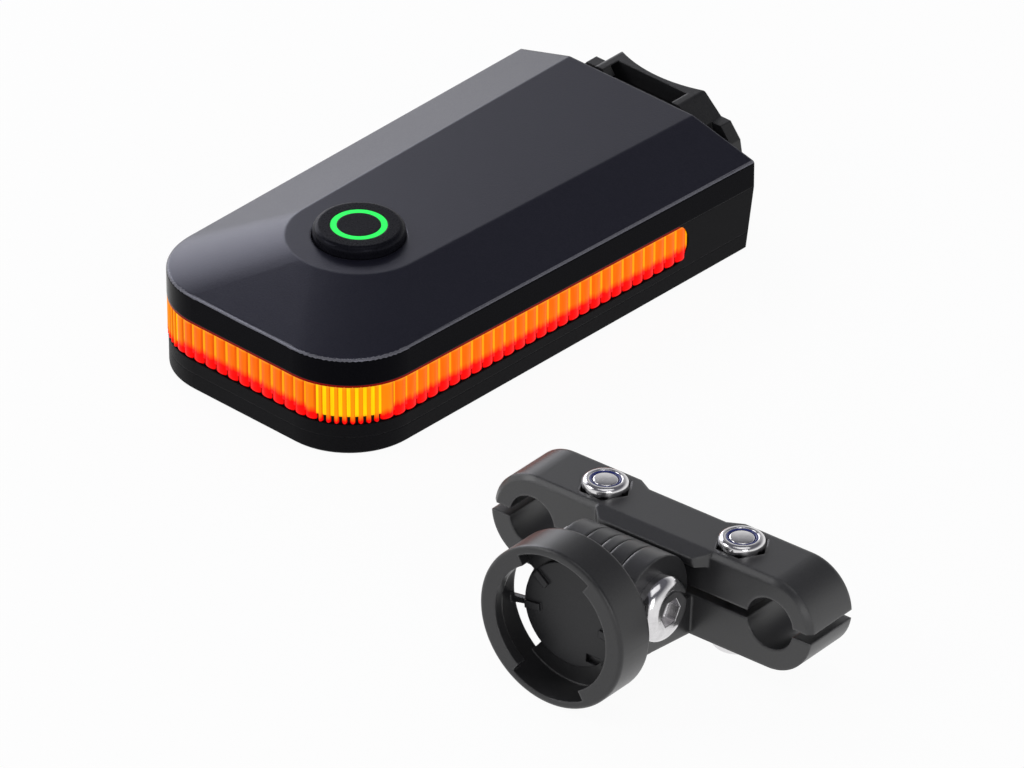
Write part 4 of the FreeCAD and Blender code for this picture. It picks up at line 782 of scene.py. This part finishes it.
# The lamps behind the near corners, in degrees round each corner
GLOW_MIDDLE, GLOW_REACH, GLOW_FADE = 46, 36, 14

# Ribs: the master's height and depth; each kind's half width, tip radius and usual pitch
RIB_TALL = 6.9
RIB_DEEP = 0.68
RIB_KINDS = {"broad": (1.20, 0.52, 2.393), "fine": (0.40, 0.26, 1.287)}
RIB_SUNK = 0.05  # how far a rib's front stands inside the plan
RIB_LIFT = 0.08  # how far its tip stands above the lens's lower edge
RIB_OVER = 0.03  # how far its top reaches above the seam

SIDE_RUN = 62.215
SIDE_RIBS = 26
FRONT_RIBS = 9
# Round the right corner: first and last angle, number and kind of the ribs between them
CORNER_RIBS = (
    (math.degrees(-LEAN), -23.6, 2, "broad"),
    (-23.6, -70.8, 8, "fine"),
    (-70.8, -90.0, 2, "broad"),
)


def lens_low(back):
    """Height of the lens's lower edge, so far back from the light's far face."""
    return FOOT + FOOT_RISE * back


def seam(back):
    """Height of the seam between the lens and the cover."""
    return SEAM + SEAM_RISE * back


def half_width(y):
    """Half the light's width at a place along it."""
    return FAR_HALF + SIDE_SLOPE * y


def corner_glow(x, y):
    """How near a point of the plan is to the lamps behind the two near corners."""
    if y > CORNER_Y or abs(x) < CORNER_X:
        return 0.0
    turn = math.degrees(math.atan2(CORNER_Y - y, abs(x) - CORNER_X))
    share = max(0.0, min(1.0, (GLOW_REACH - abs(turn - GLOW_MIDDLE)) / GLOW_FADE))
    return share * share * (3 - 2 * share)


def mark(piece, **given):
    """Stores how far each point of a lens piece stands across and up it, and how lit it is."""
    points = [corner.co for corner in piece.data.vertices]
    columns = {
        "across": [0.0] * len(points),
        "rise": [(p.z - lens_low(-p.y)) / (seam(-p.y) - lens_low(-p.y)) for p in points],
        "glow": [corner_glow(p.x, p.y) for p in points],
    }
    for name, values in {**columns, **given}.items():
        piece.data.attributes.new(name, "FLOAT", "POINT").data.foreach_set("value", values)


def plan_wall(name, inset, thick, low, high):
    """A wall along the light's plan round its near end, with sloping edges."""
    deselect()
    far, near = LENS_END - 0.1, NEAR_END
    bpy.ops.mesh.primitive_cube_add(size=1, location=(0, 0, 0))
    wall = named(bpy.context.object, name)
    edit(wall, "SELECT")
    resize(2 * half_width(far), far - near, 1)
    shift(0, (far + near) / 2, 0)
    pick(wall, "VERT", lambda v: v.co.y < MIDWAY)
    resize(half_width(near) / half_width(far), 1, 1)
    for y in (far, near):
        for start, height in ((-0.5, low(-y)), (0.5, high(-y))):
            pick(wall, "VERT", lambda v: abs(v.co.y - y) < 1 and abs(v.co.z - start) < 0.01)
            shift(0, 0, height - start)

    def near_upright(edge):
        one, two = (v.co for v in edge.verts)
        return one.y < MIDWAY and two.y < MIDWAY and abs(one.x - two.x) < 0.01

    round_edges(wall, near_upright, radius=half_width(near) - CORNER_X, segments=32)
    pick(wall, "FACE", lambda f: abs(f.normal.z) > 0.8 or f.normal.y > 0.8)
    bpy.ops.mesh.delete(type="FACE")
    bpy.ops.mesh.select_all(action="SELECT")
    bpy.ops.transform.shrink_fatten(value=-inset, use_even_offset=True)
    leave_edit()
    apply_modifier(wall, "SOLIDIFY", thickness=thick, offset=-1, use_even_offset=True)
    return wall


def model_rib(name, half, tip):
    """One upright rib of the lens with a rounded finger tip, its middle at Y 0."""
    deselect()
    bpy.ops.mesh.primitive_cylinder_add(vertices=24, radius=1, depth=1, location=(0, 0, 0))
    rib = named(bpy.context.object, name)
    edit(rib, "SELECT")
    resize(half, RIB_DEEP, RIB_TALL)
    shift(0, 0, RIB_TALL / 2)
    round_edges(rib, lambda e: all(v.co.z < 0.01 for v in e.verts), radius=tip, segments=5)
    leave_edit()
    return rib


def rib_spots():
    """Plan point, outward way, kind and width of every rib: left side, front, right side."""
    outward = Vector((math.cos(LEAN), -math.sin(LEAN), 0))
    along = Vector((math.sin(LEAN), math.cos(LEAN), 0))
    centre = Vector((CORNER_X, CORNER_Y, 0))
    right = []
    for i in range(SIDE_RIBS):
        spot = centre + outward * CORNER + along * (SIDE_RUN * (i + 0.5) / SIDE_RIBS)
        right.append((spot, outward, "broad", SIDE_RUN / SIDE_RIBS))
    for first, last, count, kind in CORNER_RIBS:
        for i in range(count):
            angle = math.radians(first + (last - first) * (i + 0.5) / count)
            way = Vector((math.cos(angle), math.sin(angle), 0))
            width = CORNER * math.radians(abs(last - first)) / count
            right.append((centre + way * CORNER, way, kind, width))
    left = [
        (Vector((-spot.x, spot.y, 0)), Vector((-way.x, way.y, 0)), kind, width)
        for spot, way, kind, width in right
    ]
    pitch = 2 * CORNER_X / FRONT_RIBS
    front = [
        (Vector((-CORNER_X + pitch * (i + 0.5), NEAR_END, 0)), Vector((0, -1, 0)), "broad", pitch)
        for i in range(FRONT_RIBS)
    ]
    return left + front + right


def place_rib(master, kind, spot, way, width):
    """A copy of a rib, fitted between the lens's lower edge and the seam at its spot."""
    half, _, pitch = RIB_KINDS[kind]
    rib = twin(master)
    low = lens_low(-spot.y) + RIB_LIFT
    tall = (seam(-spot.y) + RIB_OVER - low) / RIB_TALL
    wide = width / pitch
    rib.data.transform(Matrix.Diagonal((wide, 1, tall, 1)))
    across = [v.co.x / (half * wide) for v in rib.data.vertices]
    turn = Matrix.Rotation(math.atan2(way.x, -way.y), 4, "Z")
    stand = Matrix.Translation(spot - way * (RIB_DEEP + RIB_SUNK) + Vector((0, 0, low)))
    rib.data.transform(stand @ turn)
    mark(rib, across=across, glow=[corner_glow(spot.x, spot.y)] * len(across))
    return rib


def model_lens():
    wall = plan_wall(
        "lens_wall", inset=0.34, thick=1.4, low=lambda b: lens_low(b) + 1.35, high=seam
    )
    mark(wall)
    dress(wall, "lens_valley")
    settle(wall, light_axes, "light", "lens_red", "side_lens")

    # The rail stands for the shadow under the cover: its rise is 1 all over, so it takes only the
    # painted shadow colour.
    rail = plan_wall(
        "lens_shadow_rail", inset=0.04, thick=0.9, low=lambda b: seam(b) - 0.40, high=seam
    )
    mark(rail, rise=[1.0] * len(rail.data.vertices))
    dress(rail, "lens_rib")
    settle(rail, light_axes, "light", "lens_red", "side_lens")

    sill = plan_wall(
        "lens_sill", inset=0.50, thick=1.20,
        low=lambda b: lens_low(b) - 0.25, high=lambda b: lens_low(b) + 1.45,
    )
    apply_modifier(
        sill, "BEVEL", width=0.12, segments=2, limit_method="ANGLE", angle_limit=math.radians(50)
    )
    dress(sill, "lower_housing")
    settle(sill, light_axes, "light", "housing_plastic", "side_lens")

    masters = {
        kind: model_rib(kind + "_rib", half, tip) for kind, (half, tip, _) in RIB_KINDS.items()
    }
    ribs = [
        place_rib(masters[kind], kind, spot, way, width) for spot, way, kind, width in rib_spots()
    ]
    for master in masters.values():
        bpy.data.objects.remove(master)
    row = join(ribs, "lens_ribs")
    dress(row, "lens_rib")
    settle(row, light_axes, "light", "lens_red", "side_lens", smooth=50)


# Nuts: a hexagon with a rounded collar, a nylon ring let into it and the bolt's end

# Where the feet of the two nuts stand on the bracket
NUT_SPOTS = ((12.6, 5.2, 3.5), (-12.6, 5.2, 3.5))
# Radii, lengths and the heights of the middles over the nut's foot
HEX_RADIUS, HEX_TALL = 4.04, 3.9
COLLAR_RADIUS, COLLAR_TALL, COLLAR_MIDDLE = 3.55, 1.8, 4.5
COLLAR_WALL, COLLAR_HOLLOW = 1.12, 0.75
COLLAR_TOP = (0.85, 1)  # heights about its own middle that hold its top edges
COLLAR_FOOT = (-1, -0.85)
INSERT_RADIUS, INSERT_THICK, INSERT_HIGH = 2.27, 0.25, 5.10
BOLT_RADIUS, BOLT_TALL, BOLT_MIDDLE = 1.94, 1.5, 4.55


def ring_edges(heights, radii):
    """Wants the edges that lie between two heights and two distances from the axis."""
    return lambda edge: all(
        heights[0] < v.co.z < heights[1] and radii[0] < v.co.xy.length < radii[1]
        for v in edge.verts
    )


def model_nut():
    """One lock nut on its own axis, its hexagon's foot at Z 0."""
    deselect()
    bpy.ops.mesh.primitive_cylinder_add(
        vertices=6, radius=HEX_RADIUS, depth=HEX_TALL, location=(0, 0, HEX_TALL / 2)
    )
    block = bpy.context.object
    edit(block)
    round_edges(block, lambda e: True, radius=0.22, segments=2)
    deselect()
    bpy.ops.mesh.primitive_cylinder_add(
        vertices=64, radius=COLLAR_RADIUS, depth=COLLAR_TALL, location=(0, 0, COLLAR_MIDDLE)
    )
    collar = bpy.context.object
    edit(collar)
    pick(collar, "FACE", lambda f: f.normal.z > 0.9)
    bpy.ops.mesh.inset(thickness=COLLAR_WALL)
    bpy.ops.mesh.extrude_region_move(TRANSFORM_OT_translate={"value": (0, 0, -COLLAR_HOLLOW)})
    outside = (3, 4)
    inside = (2, 2.5)
    round_edges(collar, ring_edges(COLLAR_TOP, outside), radius=0.72, segments=8)
    round_edges(collar, ring_edges(COLLAR_TOP, inside), radius=0.16, segments=3)
    round_edges(collar, ring_edges(COLLAR_FOOT, outside), radius=0.30, segments=3)
    return fix_place(join([block, collar], "lock_nut"))


def model_insert():
    """The nylon ring in the nut's collar."""
    deselect()
    bpy.ops.mesh.primitive_torus_add(
        major_radius=INSERT_RADIUS, minor_radius=INSERT_THICK,
        major_segments=64, minor_segments=14,
    )
    ring = named(bpy.context.object, "nylon_ring")
    edit(ring, "SELECT")
    shift(0, 0, INSERT_HIGH)
    leave_edit()
    return ring


def model_bolt_end():
    """The bolt's rounded end, which stands level with its nut."""
    deselect()
    bpy.ops.mesh.primitive_cylinder_add(
        vertices=64, radius=BOLT_RADIUS, depth=BOLT_TALL, location=(0, 0, BOLT_MIDDLE)
    )
    end = named(bpy.context.object, "bolt_end")
    edit(end)
    round_edges(end, lambda e: all(v.co.z > 0.7 for v in e.verts), radius=0.20, segments=4)
    return fix_place(end)


def on_both_bolts(piece, name):
    """Two copies of a piece, one for each bolt, joined as one."""
    copies = []
    for spot in NUT_SPOTS:
        made = twin(piece)
        made.data.transform(Matrix.Translation(spot))
        copies.append(made)
    bpy.data.objects.remove(piece)
    return join(copies, name)


def model_nuts():
    nuts = on_both_bolts(model_nut(), "collared_nuts")
    dress(nuts, "lock_nuts")
    settle(nuts, bracket_axes, "clamp_cap", "bolt_steel", "lock_nuts", smooth=40)
    rings = on_both_bolts(model_insert(), "nylon_rings")
    dress(rings, "nut_inserts")
    settle(rings, bracket_axes, "clamp_cap", "nylon_blue", "nut_inserts", smooth=60)
    ends = on_both_bolts(model_bolt_end(), "bolt_ends")
    dress(ends, "clamp_bolts")
    settle(ends, bracket_axes, "clamp_base", "bolt_steel")


# Cover: its band is glossy and the edge over the band carries a painted highlight

# Heights above the seam in millimetres, and how far a face there looks up
EDGE_LOW, EDGE_HIGH = 3.9, 5.1
EDGE_LOOKS_UP = (0.30, 0.92)
BAND_HIGH = 4.9
BAND_LOOKS_UP = 0.35


def model_cover():
    cover = merged_copy("top_cover", "cover_shell")
    dress(cover, "top_cover", "cover_band", "cover_edge_highlight")
    heights = []
    for corner in cover.data.vertices:
        heights.append(corner.co.z / MM - seam((light_place.y - corner.co.y) / MM))
    for face in cover.data.polygons:
        low = min(heights[corner] for corner in face.vertices)
        high = max(heights[corner] for corner in face.vertices)
        up = face.normal.z
        # Faces along the edge over the band take the pale finish: a painted highlight.
        if low > EDGE_LOW and high < EDGE_HIGH and EDGE_LOOKS_UP[0] < up < EDGE_LOOKS_UP[1]:
            face.material_index = 2
        elif high < BAND_HIGH and abs(up) < BAND_LOOKS_UP:
            face.material_index = 1
    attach(cover, "light")
    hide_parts("top_cover")


place_camera()
light_the_room()
lay_the_table()
finishes = make_finishes()
for node_name, node_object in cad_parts.items():
    dress(node_object, node_name)

model_lens()
model_nuts()
model_cover()
deselect()
